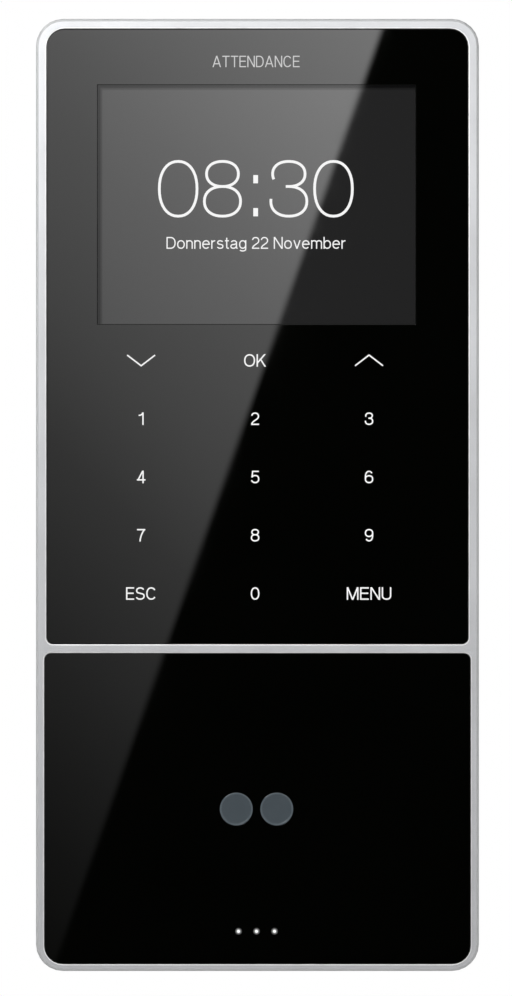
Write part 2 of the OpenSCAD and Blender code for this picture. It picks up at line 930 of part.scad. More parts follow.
module tamper_switch() {
    color("#1d1f21") difference() {
        block([tamper_x - tamper_half, tamper_x + tamper_half],
            [tamper_z - tamper_half, tamper_z + tamper_half], [tamper_face, board_back]);
        bar_in(tamper_x, tamper_z, tamper_rod_r + run_gap, [tamper_face - cut, tamper_face + 1]);
        bar_in(tamper_x, tamper_z, tamper_bore_r, [tamper_face + 0.6, tamper_end]);
    }
}

module tamper_plunger() {
    color("white") {
        bar_in(tamper_x, tamper_z, tamper_rod_r, [plate_t + tamper_gap, tamper_disc[1]]);
        bar_in(tamper_x, tamper_z, tamper_disc_r, tamper_disc);
    }
}

// One point on the spring's wire: ring i along the helix, corner k round the wire
function spring_point(i, k, start, length) =
    let (
        turn = 360 * i / spring_steps,
        around = 360 * k / spring_sides,
        out = spring_r + spring_wire_r * cos(around)
    ) [
        tamper_x + out * cos(turn),
        -(start + length * i / (spring_turns * spring_steps) + spring_wire_r * sin(around)),
        tamper_z + out * sin(turn)
    ];

module tamper_spring() {
    rings = spring_turns * spring_steps;
    start = tamper_disc[1] + spring_wire_r + 0.05;
    length = tamper_end - start - spring_wire_r - 0.05;
    points = [
        for (i = [0 : rings], k = [0 : spring_sides - 1]) spring_point(i, k, start, length)
    ];
    sides = [
        for (i = [0 : rings - 1], k = [0 : spring_sides - 1])
            let (a = i * spring_sides + k, b = i * spring_sides + (k + 1) % spring_sides)
                [a, b, b + spring_sides, a + spring_sides]
    ];
    first = [for (k = [spring_sides - 1 : -1 : 0]) k];
    last = [for (k = [0 : spring_sides - 1]) rings * spring_sides + k];
    color("silver") polyhedron(points = points, faces = concat([first, last], sides));
}

module reset_switch() {
    color("#202224") difference() {
        block([reset_x - 3, reset_x + 3], [board_z[0], board_z[0] + 3.6],
            [reset_depth - 1.8, board_back]);
        bar_up(reset_x, reset_depth, reset_r + run_gap, [board_z[0] - cut, board_z[0] + 1.4]);
    }
}

module reset_button() {
    color("firebrick") bar_up(reset_x, reset_depth, reset_r,
        [bay_top - 0.9, board_z[0] + 1.4 - reset_travel - 0.1]);
}

wall_plate();
rear_cover();
recess_floor();
port_tray();
lock_housing();
front_frame();
upper_panel();
lower_panel();
upper_panel_tape();
lower_panel_tape();
display_glass();
display_backlight();
display_gasket();
display_cable();
touch_film();
light_guide();
key_board();
key_leds();
key_cable();
badge_reader_board();
badge_reader_coil();
camera_board();
camera_bracket();
camera_barrels();
camera_lenses();
camera_windows();
camera_cable();
light_pipes();
status_board();
status_leds();
main_board();
board_chips();
flex_connectors();
radio_module();
clock_cell();
cell_holder();
network_socket();
power_socket();
power_pin();
usb_socket();
usb_tongue();
board_screws();
case_screws();
lock_insert();
lock_screw();
lock_washer();
speaker_frame();
speaker_magnet();
speaker_diaphragm();
tamper_switch();
tamper_plunger();
tamper_spring();
reset_switch();
reset_button();
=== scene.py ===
import json
import math

import bpy
import bmesh
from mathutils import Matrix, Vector


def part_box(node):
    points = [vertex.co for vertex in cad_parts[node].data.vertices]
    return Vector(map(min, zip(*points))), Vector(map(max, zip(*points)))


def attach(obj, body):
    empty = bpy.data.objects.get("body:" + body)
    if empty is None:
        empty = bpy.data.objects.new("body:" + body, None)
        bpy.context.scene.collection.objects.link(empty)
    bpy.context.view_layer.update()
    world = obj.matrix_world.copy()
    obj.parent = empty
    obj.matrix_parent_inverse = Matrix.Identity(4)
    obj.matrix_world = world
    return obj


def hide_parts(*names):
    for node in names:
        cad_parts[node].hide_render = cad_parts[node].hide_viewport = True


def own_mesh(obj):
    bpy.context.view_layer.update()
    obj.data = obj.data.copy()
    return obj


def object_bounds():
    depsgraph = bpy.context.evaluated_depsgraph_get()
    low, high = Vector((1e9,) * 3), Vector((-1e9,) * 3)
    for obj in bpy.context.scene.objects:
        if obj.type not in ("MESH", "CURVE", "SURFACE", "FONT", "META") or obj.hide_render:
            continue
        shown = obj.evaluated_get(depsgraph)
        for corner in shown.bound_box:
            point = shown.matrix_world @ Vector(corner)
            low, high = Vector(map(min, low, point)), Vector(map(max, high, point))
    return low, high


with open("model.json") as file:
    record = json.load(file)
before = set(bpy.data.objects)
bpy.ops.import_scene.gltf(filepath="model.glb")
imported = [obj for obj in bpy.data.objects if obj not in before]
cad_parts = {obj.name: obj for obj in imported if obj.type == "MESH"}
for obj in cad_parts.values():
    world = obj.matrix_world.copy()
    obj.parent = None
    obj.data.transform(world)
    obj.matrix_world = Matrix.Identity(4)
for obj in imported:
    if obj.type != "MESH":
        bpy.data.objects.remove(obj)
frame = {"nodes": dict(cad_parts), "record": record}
cad_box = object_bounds()
NODES = frame["nodes"]
BODY_OF = {n: b for b, ns in frame["record"]["behaviour"]["bodies"].items() for n in ns}
SLOT_OF = {s["node"]: s["material_slot"] for s in frame["record"]["subparts"]}

# ------------------------------------------------------------------ camera

CAMERA_DISTANCE = 1.5           # a long lens, so the sides of the case stay hidden
VIEW_HEIGHT = 0.2102            # what the picture's height takes in at the front face
VIEW_CENTRE = (-0.00031, -0.00064)
SENSOR = 36.0
front_y = cad_box[0].y


def make_camera():
    data = bpy.data.cameras.new("camera")
    data.sensor_fit = "AUTO"
    data.sensor_width = SENSOR
    data.lens = SENSOR / 2 / (VIEW_HEIGHT / 2 / CAMERA_DISTANCE)
    data.clip_start, data.clip_end = 0.05, 20
    camera = bpy.data.objects.new("camera", data)
    camera.location = (VIEW_CENTRE[0], front_y - CAMERA_DISTANCE, VIEW_CENTRE[1])
    camera.rotation_euler = (math.radians(90), 0, 0)
    bpy.context.scene.collection.objects.link(camera)
    bpy.context.scene.camera = camera


make_camera()

# ------------------------------------------------------------------ node helpers


def set_range(made, start, end, low, high):
    """Sets a Map Range node to carry start to low and end to high"""
    for socket, value in zip(made.inputs[1:5], (start, end, low, high)):
        socket.default_value = value


class Surface:
    """A Principled material with helpers that add procedural detail in the row's own metres."""

    def __init__(self, name, colour, rough, metal=0.0, spec=0.5):
        self.material = bpy.data.materials.new(name)
        self.material.use_nodes = True
        self.tree = self.material.node_tree
        self.shader = self.tree.nodes["Principled BSDF"]
        self.set("Base Color", (*colour, 1))
        self.set("Roughness", rough)
        self.set("Metallic", metal)
        self.set("Specular IOR Level", spec)
        self.height = None

    def set(self, socket, value):
        self.shader.inputs[socket].default_value = value
        return self

    def node(self, kind, **values):
        made = self.tree.nodes.new(kind)
        for key, value in values.items():
            if key in made.inputs:
                made.inputs[key].default_value = value
            else:
                setattr(made, key, value)
        return made

    def link(self, out, socket):
        self.tree.links.new(out, socket)

    def place(self, stretch=(1, 1, 1)):
        """Object coordinates in metres, stretched along each axis"""
        where = self.node("ShaderNodeTexCoord")
        mapping = self.node("ShaderNodeMapping", Scale=stretch)
        self.link(where.outputs["Object"], mapping.inputs["Vector"])
        return mapping.outputs["Vector"]

    def noise(self, size, detail=3.0, stretch=(1, 1, 1)):
        """Noise whose features are about `size` metres across"""
        made = self.node("ShaderNodeTexNoise", Scale=1 / size, Detail=detail)
        self.link(self.place(stretch), made.inputs["Vector"])
        return made.outputs["Fac"]

    def cells(self, size):
        made = self.node("ShaderNodeTexVoronoi", Scale=1 / size)
        self.link(self.place(), made.inputs["Vector"])
        return made.outputs["Distance"]

    def between(self, fac, low, high, start=0.3, end=0.7):
        made = self.node("ShaderNodeMapRange")
        set_range(made, start, end, low, high)
        self.link(fac, made.inputs["Value"])
        return made.outputs["Result"]

    def mix(self, fac, a, b):
        made = self.node("ShaderNodeMix", data_type="RGBA")
        made.inputs["A"].default_value = (*a, 1)
        made.inputs["B"].default_value = (*b, 1)
        self.link(fac, made.inputs["Factor"])
        return made.outputs["Result"]

    def tint(self, fac, a, b):
        self.link(self.mix(fac, a, b), self.shader.inputs["Base Color"])
        return self

    def roughen(self, fac, low, high):
        self.link(self.between(fac, low, high), self.shader.inputs["Roughness"])
        return self

    def bump(self, height, depth, strength=1.0):
        made = self.node("ShaderNodeBump", Strength=strength, Distance=depth)
        self.link(height, made.inputs["Height"])
        if self.height is not None:
            self.link(self.height, made.inputs["Normal"])
        self.height = made.outputs["Normal"]
        self.link(self.height, self.shader.inputs["Normal"])
        return self

    def glow(self, colour, strength):
        self.set("Emission Color", (*colour, 1))
        self.set("Emission Strength", strength)
        return self


# ------------------------------------------------------------------ materials

def silver_paint():
    """Metallic paint: fine flakes, a faint orange peel and a soft wear of gloss"""
    s = Surface("silver_paint", (0.78, 0.79, 0.81), 0.36, metal=0.55)
    flakes = s.noise(0.00012, 2)
    s.tint(s.between(flakes, 0, 1, 0.35, 0.65), (0.72, 0.73, 0.755), (0.84, 0.85, 0.865))
    s.roughen(s.noise(0.012, 4), 0.32, 0.41)
    s.bump(s.noise(0.0011, 2), 0.00001, 0.25)
    return s.bump(flakes, 0.000004, 0.2)


def gloss_black():
    """Back-printed acrylic: near black, polished, with the faintest haze from wiping"""
    s = Surface("gloss_black", (0.0007, 0.0008, 0.0006), 0.012, spec=0.5)
    s.tint(s.noise(0.02, 3), (0.0005, 0.0006, 0.0004), (0.0010, 0.0011, 0.0008))
    s.roughen(s.noise(0.006, 5, (1, 1, 0.25)), 0.008, 0.016)
    return s.set("IOR", 1.49)


def display_face(name, lit, spec):
    """The display's cover glass over a dark, faintly lit cell"""
    s = Surface(name, (0.004, 0.004, 0.0041), 0.012, spec=spec)
    s.roughen(s.noise(0.005, 4), 0.009, 0.018)
    s.tint(s.between(s.noise(0.0002, 0), 0, 1), (0.0035, 0.0035, 0.0036), (0.0045, 0.0045, 0.0047))
    return s.glow((1.0, 1.0, 1.0), lit)


def lit_white(name, strength):
    """White light let through a clear legend in the print"""
    s = Surface(name, (0.06, 0.06, 0.06), 0.5, spec=0.2)
    s.tint(s.noise(0.0008, 2), (0.05, 0.05, 0.05), (0.07, 0.07, 0.07))
    s.bump(s.noise(0.0002, 2), 0.000003, 0.2)
    return s.glow((1.0, 1.0, 1.0), strength)


def moulded(name, dark, light, rough, grain=0.00045, depth=0.00002, spec=0.4):
    """Moulded plastic: a spark-eroded grain with slow changes of gloss and shade"""
    s = Surface(name, dark, rough, spec=spec)
    s.tint(s.noise(0.009, 4), dark, light)
    s.roughen(s.noise(0.004, 4), rough - 0.07, rough + 0.07)
    s.bump(s.noise(grain * 3, 3), depth, 0.35)
    return s.bump(s.noise(grain, 3), depth * 0.7, 0.5)


def metal(name, dark, light, rough, stretch=(1, 1, 1), size=0.0006, depth=0.000006):
    """Bare or plated metal: drawn or rolled marks along one direction, and faint stains"""
    s = Surface(name, dark, rough, metal=1.0)
    s.tint(s.between(s.noise(size, 4, stretch), 0, 1), dark, light)
    s.roughen(s.noise(0.003, 4), rough - 0.06, rough + 0.08)
    return s.bump(s.noise(size, 3, stretch), depth, 0.4)


def zinc_plate():
    """Zinc-plated sheet: rolled along its length, with the plating's cloudy spangle"""
    s = Surface("zinc_plate", (0.5, 0.52, 0.54), 0.38, metal=0.9)
    spangle = s.cells(0.0045)
    s.tint(s.between(spangle, 0, 1, 0.1, 0.9), (0.46, 0.475, 0.49), (0.54, 0.555, 0.57))
    s.roughen(s.noise(0.004, 5), 0.36, 0.44)
    s.bump(s.noise(0.0005, 3, (1, 1, 0.06)), 0.000008, 0.35)
    return s.bump(s.noise(0.02, 2), 0.00001, 0.2)


TRACKS_PER_METRE = 420


def circuit_board():
    """Solder mask over etched tracks, which show as a slightly raised, lighter pattern"""
    s = Surface("circuit_board", (0.01, 0.11, 0.045), 0.38)
    tracks = s.node("ShaderNodeTexBrick", Scale=1)
    s.link(s.place((TRACKS_PER_METRE,) * 3), tracks.inputs["Vector"])
    tracks.inputs["Mortar Size"].default_value = 0.06
    tracks.inputs["Color1"].default_value = (0, 0, 0, 1)
    tracks.inputs["Color2"].default_value = (0, 0, 0, 1)
    tracks.inputs["Mortar"].default_value = (1, 1, 1, 1)
    s.tint(tracks.outputs["Color"], (0.006, 0.085, 0.035), (0.02, 0.17, 0.07))
    s.roughen(s.noise(0.002, 4), 0.28, 0.42)
    return s.bump(tracks.outputs["Color"], 0.00003, 0.5)


def clear_guide():
    """Polished clear plastic that scatters a little of the keys' light"""
    s = Surface("clear_guide", (0.83, 0.86, 0.87), 0.12)
    s.tint(s.noise(0.004, 3), (0.78, 0.82, 0.83), (0.88, 0.9, 0.9))
    return s.bump(s.noise(0.0012, 3), 0.000006, 0.3)


def smoked_window(name, share):
    """Polished window over a lens: cool grey, its tone scaled by share, with a faint cool glow that is
    painted light
    """
    s = Surface(name, (0.040, 0.049, 0.056), 0.06)
    darker = [share * c for c in (0.037, 0.046, 0.053)]
    lighter = [share * c for c in (0.043, 0.052, 0.059)]
    s.tint(s.noise(0.0024, 3), darker, lighter)
    s.roughen(s.noise(0.002, 3), 0.05, 0.09)
    # A faint cool glow on a window that is no lamp: painted light
    return s.glow((0.75, 0.92, 1.0), 0.006)


def paper_cone():
    s = Surface("paper_cone", (0.03, 0.03, 0.03), 0.8)
    s.tint(s.noise(0.0007, 5), (0.02, 0.02, 0.02), (0.05, 0.048, 0.045))
    return s.bump(s.noise(0.0004, 5), 0.00004, 0.6)


def foam_tape():
    s = Surface("foam_tape", (0.02, 0.02, 0.02), 0.85)
    s.tint(s.noise(0.0006, 4), (0.014, 0.014, 0.015), (0.03, 0.03, 0.03))
    return s.bump(s.cells(0.0004), 0.00005, 0.5)


TRACK_SPACING = 0.0032


def flat_cable():
    """Polyimide film over side-by-side copper tracks"""
    s = Surface("flat_cable", (0.42, 0.17, 0.05), 0.3)
    bands = s.node("ShaderNodeTexWave", Scale=1 / TRACK_SPACING, Distortion=0)
    s.link(s.place(), bands.inputs["Vector"])
    s.tint(bands.outputs["Fac"], (0.30, 0.11, 0.03), (0.52, 0.24, 0.08))
    s.roughen(s.noise(0.002, 3), 0.22, 0.36)
    return s.bump(bands.outputs["Fac"], 0.00002, 0.4)


DARK = (0.011, 0.011, 0.012)
MATERIALS = {
    "plate_steel": zinc_plate(),
    "case_silver": silver_paint(),
    "rear_plastic": moulded("rear_plastic", (0.030, 0.032, 0.036), (0.042, 0.044, 0.048), 0.52),
    "panel_black": gloss_black(),
    "tape": foam_tape(),
    "display": display_face("display_face", 0.0125, 0.6),
    "module_white": moulded("module_white", (0.66, 0.66, 0.64), (0.76, 0.76, 0.74), 0.45),
    "flex": flat_cable(),
    "film": moulded("touch_film", (0.04, 0.05, 0.06), (0.06, 0.07, 0.085), 0.25, 0.0008, 0.000005),
    "light_guide": clear_guide(),
    "board": circuit_board(),
    "led": moulded("led_resin", (0.75, 0.62, 0.22), (0.88, 0.78, 0.36), 0.3, 0.0003, 0.000004),
    "copper": metal("copper", (0.62, 0.28, 0.12), (0.78, 0.40, 0.20), 0.3),
    "camera_black": moulded("camera_black", DARK, (0.018, 0.018, 0.019), 0.4, 0.0003),
    "lens": Surface("lens", (0.02, 0.03, 0.05), 0.03),
    "window": smoked_window("smoked_window", 1.47),
    "chip": moulded("chip_epoxy", DARK, (0.02, 0.02, 0.021), 0.6, 0.0002),
    "connector": moulded("connector_ivory", (0.62, 0.56, 0.42), (0.74, 0.68, 0.54), 0.45),
    "can": metal("tinned_can", (0.52, 0.53, 0.54), (0.66, 0.67, 0.68), 0.3, (1, 1, 0.1)),
    "cell": metal("cell_nickel", (0.62, 0.62, 0.61), (0.78, 0.78, 0.77), 0.18),
    "socket_steel": metal("socket_nickel", (0.55, 0.56, 0.57), (0.70, 0.71, 0.72), 0.26,
                          (1, 1, 0.08)),
    "socket_black": moulded("socket_black", DARK, (0.018, 0.018, 0.02), 0.42, 0.0003),
    "gold_pin": metal("gold_pin", (0.72, 0.50, 0.16), (0.88, 0.66, 0.26), 0.2),
    "tongue": moulded("usb_tongue", (0.72, 0.72, 0.70), (0.82, 0.82, 0.80), 0.35, 0.0003),
    "screw": metal("screw_zinc", (0.40, 0.41, 0.42), (0.54, 0.55, 0.57), 0.3, size=0.0004),
    "insert": metal("insert_brass", (0.58, 0.40, 0.14), (0.74, 0.54, 0.24), 0.28),
    "nylon": moulded("nylon", (0.74, 0.72, 0.62), (0.84, 0.82, 0.73), 0.42, 0.0003),
    "speaker_black": moulded("speaker_black", DARK, (0.024, 0.024, 0.025), 0.5, 0.0003),
    "magnet": metal("magnet_nickel", (0.34, 0.34, 0.35), (0.48, 0.48, 0.49), 0.25),
    "cone": paper_cone(),
    "spring": metal("spring_wire", (0.45, 0.46, 0.47), (0.62, 0.63, 0.64), 0.25),
    "switch": moulded("switch_black", DARK, (0.02, 0.02, 0.021), 0.5, 0.0003),
    "plunger": moulded("plunger_acetal", (0.72, 0.72, 0.70), (0.84, 0.84, 0.82), 0.4, 0.0003),
    "reset": moulded("reset_red", (0.36, 0.012, 0.012), (0.48, 0.025, 0.02), 0.42, 0.0003),
}
MATERIALS["lens"].tint(MATERIALS["lens"].noise(0.002, 2), (0.015, 0.025, 0.06), (0.03, 0.02, 0.05))
# Near-white metal that glows, for the chamfer round each panel: a painted highlight
CHAMFER_HIGHLIGHT = metal("chamfer_painted_highlight", (0.95, 0.95, 0.95), (0.98, 0.98, 0.98), 0.4,
                size=0.0004, depth=0.000002).glow((1, 1, 1), 0.33)
# A darker, duller grey for the frame's rounded outer edge: painted shade on the silver paint
CASE_EDGE_SHADE = moulded("case_edge_painted_shade", (0.44, 0.445, 0.453), (0.47, 0.475, 0.483), 0.55,
                    0.0003, 0.000003, spec=0.2)
POCKET = moulded("pocket_shade", (0.004, 0.004, 0.004), (0.007, 0.007, 0.007), 0.7,
                 0.0003, 0.000003)
# The window finish at a lighter tone for the rim round each camera window: a painted highlight
WINDOW_RIM_HIGHLIGHT = smoked_window("window_rim_painted_highlight", 2.1)
# Painted shadow along the display's left and top edges: an unlit strip with less gloss, then a dimmer strip
# with less gloss that fades into the display
DISPLAY_SHADOW = display_face("display_painted_shadow", 0.0, 0.34)
DISPLAY_SHADOW_FADE = display_face("display_painted_shadow_fade", 0.007, 0.45)
LIT_WHITE = lit_white("lit_white", 0.86).material
LIT_GREY = lit_white("lit_grey", 0.55).material
HALO = lit_white("light_halo", 0.035).material

# ------------------------------------------------------------------ piece helpers


def new_piece(name, mesh, body, slot, material=None):
    piece = bpy.data.objects.new(name, mesh)
    bpy.context.scene.collection.objects.link(piece)
    mesh.materials.clear()
    mesh.materials.append(material or MATERIALS[slot].material)
    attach(piece, body)
    return piece


def smooth_by_angle(mesh, degrees=32):
    for polygon in mesh.polygons:
        polygon.use_smooth = True
    mesh.set_sharp_from_angle(angle=math.radians(degrees))


WELD = 0.000002
FLAT_DEGREES = 0.6


def clean_copy(node):
    """The node's mesh with shared corners welded and flat areas merged"""
    mesh = NODES[node].data.copy()
    bm = bmesh.new()
    bm.from_mesh(mesh)
    bmesh.ops.remove_doubles(bm, verts=bm.verts, dist=WELD)
    bmesh.ops.dissolve_limit(bm, angle_limit=math.radians(FLAT_DEGREES), verts=bm.verts, edges=bm.edges)
    bm.normal_update()
    bm.to_mesh(mesh)
    bm.free()
    if "custom_normal" in mesh.attributes:
        mesh.attributes.remove(mesh.attributes["custom_normal"])
    return mesh


def soften(node, radius, segments):
    """Makes a piece with the node's shape and its edges broken by a small radius"""
    mesh = clean_copy(node)
    piece = new_piece(node + "_part", mesh, BODY_OF[node], SLOT_OF[node])
    smooth_by_angle(mesh)
    bevel = piece.modifiers.new("edges", "BEVEL")
    bevel.width = radius
    bevel.segments = segments
    bevel.limit_method = "ANGLE"
    bevel.angle_limit = math.radians(40)
    bevel.harden_normals = True
    bevel.use_clamp_overlap = True
    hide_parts(node)


# Each softened node's edge radius and the steps in its rounding
SOFTENED = {
    "rear_cover": (0.0003, 3), "recess_floor": (0.0002, 2),
    "port_tray": (0.0002, 2), "lock_housing": (0.0002, 2), "wall_plate": (0.00022, 3),
    "upper_panel": (0.00008, 3), "lower_panel": (0.00008, 3), "display_glass": (0.00003, 2),
    "network_socket": (0.0001, 2), "power_socket": (0.0001, 2), "usb_socket": (0.0001, 2),
    "usb_tongue": (0.0001, 2), "case_screws": (0.0002, 3), "lock_washer": (0.0001, 2),
    "camera_windows": (0.00018, 3), "reset_button": (0.0002, 3), "tamper_plunger": (0.0003, 3),
    "lock_insert": (0.0001, 2), "power_pin": (0.0003, 3),
}
REBUILT = ("front_frame", "lock_screw", "speaker_diaphragm", "tamper_spring")
for node, how in SOFTENED.items():
    soften(node, *how)
for node, thing in NODES.items():
    if node in SOFTENED or node in REBUILT:
        continue
    for slot in thing.material_slots:
        slot.material = MATERIALS[SLOT_OF[node]].material

# ------------------------------------------------------------------ pieces


def solid_ring(bm, rings):
    """Joins closed rings of vertices into a tube and caps its two ends"""
    rows = [[bm.verts.new(p) for p in ring] for ring in rings]
    count = len(rows[0])
    for a, b in zip(rows, rows[1:]):
        for i in range(count):
            j = (i + 1) % count
            bm.faces.new((a[i], a[j], b[j], b[i]))
    bm.faces.new(list(reversed(rows[0])))
    bm.faces.new(rows[-1])


def mesh_of(bm, name):
    bmesh.ops.recalc_face_normals(bm, faces=bm.faces)
    mesh = bpy.data.meshes.new(name)
    bm.to_mesh(mesh)
    bm.free()
    return mesh


def lathe(bm, x, z, profile, steps=64):
    """A solid turned about the depth axis; profile is (radius, depth), from one pole to the other"""
    start, *middle, end = profile
    angles = [2 * math.pi * i / steps for i in range(steps)]
    rows = [[bm.verts.new((x + r * math.cos(a), -d, z + r * math.sin(a))) for a in angles]
            for r, d in middle]
    poles = [bm.verts.new((x, -start[1], z)), bm.verts.new((x, -end[1], z))]
    for i in range(steps):
        j = (i + 1) % steps
        bm.faces.new((poles[0], rows[0][i], rows[0][j]))
        for a, b in zip(rows, rows[1:]):
            bm.faces.new((a[i], b[i], b[j], a[j]))
        bm.faces.new((rows[-1][i], poles[1], rows[-1][j]))


def box_of(bm, low, high):
    made = bmesh.ops.create_cube(bm, size=1)["verts"]
    size = Vector(high) - Vector(low)
    middle = (Vector(high) + Vector(low)) / 2
    for v in made:
        v.co = Vector((v.co.x * size.x, v.co.y * size.y, v.co.z * size.z)) + middle


OUTLINE_SLACK = 0.00003


def on_outline(point, half, radius):
    """Whether a point lies on a rounded rectangle about the middle"""
    qx, qz = abs(point.x) - half[0] + radius, abs(point.z) - half[1] + radius
    away = math.hypot(max(qx, 0), max(qz, 0)) + min(max(qx, qz), 0) - radius
    return abs(away) < OUTLINE_SLACK


CASE_CORNER = 0.0057
CASE_ROUNDING = 0.00055
CASE_CHAMFER = 0.0002
CHAMFER_DEPTH = 0.00004
POCKET_DEPTH = 0.003
FACE_SLACK = 0.00001
CHAMFER_ZONE, POCKET_ZONE, EDGE_ZONE = 1, 2, 3      # the frame's zones besides its paint: a painted highlight on the chamfer, painted shade on the pocket walls and on the outer edge


def near_outline(point, half):
    """Whether a point is on the case's outer wall or its rounded edge"""
    return on_outline(point, half, CASE_CORNER) or on_outline(
        point, (half[0] - CASE_ROUNDING, half[1] - CASE_ROUNDING), CASE_CORNER - CASE_ROUNDING)


def make_front_frame():
    """Silver frame: rounded outer edge in a darker grey as painted shade, and a narrow chamfer round each
    panel that glows as a painted highlight
    """
    low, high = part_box("front_frame")
    half = (high.x, high.z)
    mesh = clean_copy("front_frame")
    bm = bmesh.new()
    bm.from_mesh(mesh)
    front = [e for e in bm.edges if all(v.co.y < low.y + FACE_SLACK for v in e.verts)]
    outer = [e for e in front if all(on_outline(v.co, half, CASE_CORNER) for v in e.verts)]
    rounded = bmesh.ops.bevel(bm, geom=outer, offset=CASE_ROUNDING, segments=5, profile=0.5, affect="EDGES")
    # The rounded outer edge takes the darker grey: painted shade
    for face in rounded["faces"]:
        face.material_index = EDGE_ZONE
    inner = [e for e in bm.edges if all(v.co.y < low.y + FACE_SLACK for v in e.verts)
             and len(e.link_faces) == 2 and e.calc_face_angle(0) > 1]
    cut = bmesh.ops.bevel(bm, geom=inner, offset=CASE_CHAMFER, segments=1, profile=0.5, affect="EDGES")
    for face in bm.faces:
        sideways = abs(face.normal.y) < 0.3
        near_front = face.calc_center_median().y < low.y + POCKET_DEPTH
        if sideways and near_front and not all(near_outline(v.co, half) for v in face.verts):
            face.material_index = POCKET_ZONE
    # The chamfer faces take the glowing near-white metal: a painted highlight
    for face in cut["faces"]:
        face.material_index = CHAMFER_ZONE
        for v in face.verts:
            v.co.y = min(v.co.y, low.y + CHAMFER_DEPTH)
    bm.to_mesh(mesh)
    bm.free()
    zones = [polygon.material_index for polygon in mesh.polygons]
    piece = new_piece("front_frame_part", mesh, "terminal", "case_silver")
    for finish in (CHAMFER_HIGHLIGHT, POCKET, CASE_EDGE_SHADE):
        mesh.materials.append(finish.material)
    mesh.polygons.foreach_set("material_index", zones)
    smooth_by_angle(mesh, 30)
    even = piece.modifiers.new("even_faces", "WEIGHTED_NORMAL")
    even.keep_sharp = True
    even.weight = 100
    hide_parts("front_frame")


THREAD_PITCH = 0.0005
THREAD_DEPTH = 0.00028
THREAD_ROOT = 0.00005           # how far the thread's foot is sunk in the core
THREAD_STEPS = 24               # sections in one turn
THREAD_RUN_OUT = 6              # sections at each end that fade into the core
LOCK_HEAD = 0.0023


def make_lock_screw():
    """The lock screw's head and core, with a helical thread round the core"""
    low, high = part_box("lock_screw")
    x, y = (low.x + high.x) / 2, (low.y + high.y) / 2
    mesh = clean_copy("lock_screw")
    shaft = [v for v in mesh.vertices if v.co.z > low.z + LOCK_HEAD - 0.00002]
    radius = max(math.hypot(v.co.x - x, v.co.y - y) for v in shaft if v.co.z > high.z - 0.00001)
    core = radius - THREAD_DEPTH
    for v in shaft:
        across = Vector((v.co.x - x, v.co.y - y))
        if abs(across.length - radius) < 0.00002:
            v.co.x, v.co.y = Vector((x, y)) + across * core / radius
    head = new_piece("lock_screw_part", mesh, "lock_screw", "screw")
    smooth_by_angle(mesh)
    bevel = head.modifiers.new("edges", "BEVEL")
    bevel.width, bevel.segments, bevel.limit_method = 0.00015, 3, "ANGLE"
    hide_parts("lock_screw")
    start, end = low.z + LOCK_HEAD + THREAD_PITCH, high.z - THREAD_PITCH
    sections = (end - start) / THREAD_PITCH * THREAD_STEPS
    foot, root, flat = core - THREAD_ROOT, THREAD_PITCH * 0.46, THREAD_PITCH * 0.06
    bm = bmesh.new()
    rings = []
    for i in range(int(sections) + 1):
        turn = 2 * math.pi * i / THREAD_STEPS
        z = start + THREAD_PITCH * i / THREAD_STEPS
        full = THREAD_RUN_OUT < i < sections - THREAD_RUN_OUT
        crest = radius if full else core + THREAD_ROOT
        rings.append([(x + r * math.cos(turn), y + r * math.sin(turn), z + dz)
                      for r, dz in ((foot, -root), (crest, -flat), (crest, flat), (foot, root))])
    solid_ring(bm, rings)
    new_piece("lock_screw_thread", mesh_of(bm, "lock_screw_thread"), "lock_screw", "screw")


# The diaphragm's front, from its middle out: shares of its radius, and depths below its highest ring
CONE_FRONT = ((0, 0.0001), (0.12, 0.00011), (0.25, 0.00018), (0.36, 0.00034), (0.42, 0.00042),
              (0.60, 0.0003), (0.78, 0.00022), (0.80, 0.0001), (0.86, 0), (0.93, 0), (0.98, 0.00012),
              (1, 0.0003))


def make_diaphragm():
    """Speaker diaphragm: a rolled edge, a shallow cone and a dome in the middle"""
    low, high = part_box("speaker_diaphragm")
    x, z, r = (low.x + high.x) / 2, (low.z + high.z) / 2, (high.x - low.x) / 2
    face, back = -high.y, -low.y
    front = [(share * r, face + depth) for share, depth in CONE_FRONT]
    rear = [(r, back), (0.5 * r, back), (0, back)]
    bm = bmesh.new()
    lathe(bm, x, z, front + rear)
    mesh = mesh_of(bm, "speaker_diaphragm_part")
    piece = new_piece("speaker_diaphragm_part", mesh, "speaker_diaphragm", "cone")
    smooth_by_angle(mesh, 50)
    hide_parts("speaker_diaphragm")


def make_tamper_spring():
    """The tamper switch's spring, from the part's welded mesh, on a mesh of its own"""
    piece = new_piece("tamper_spring_part", clean_copy("tamper_spring"), "terminal", "spring")
    smooth_by_angle(piece.data, 60)
    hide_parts("tamper_spring")
    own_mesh(piece)


RIM_GAP, RIM_WIDTH = 0.00004, 0.00036
RIM_STEPS = 72


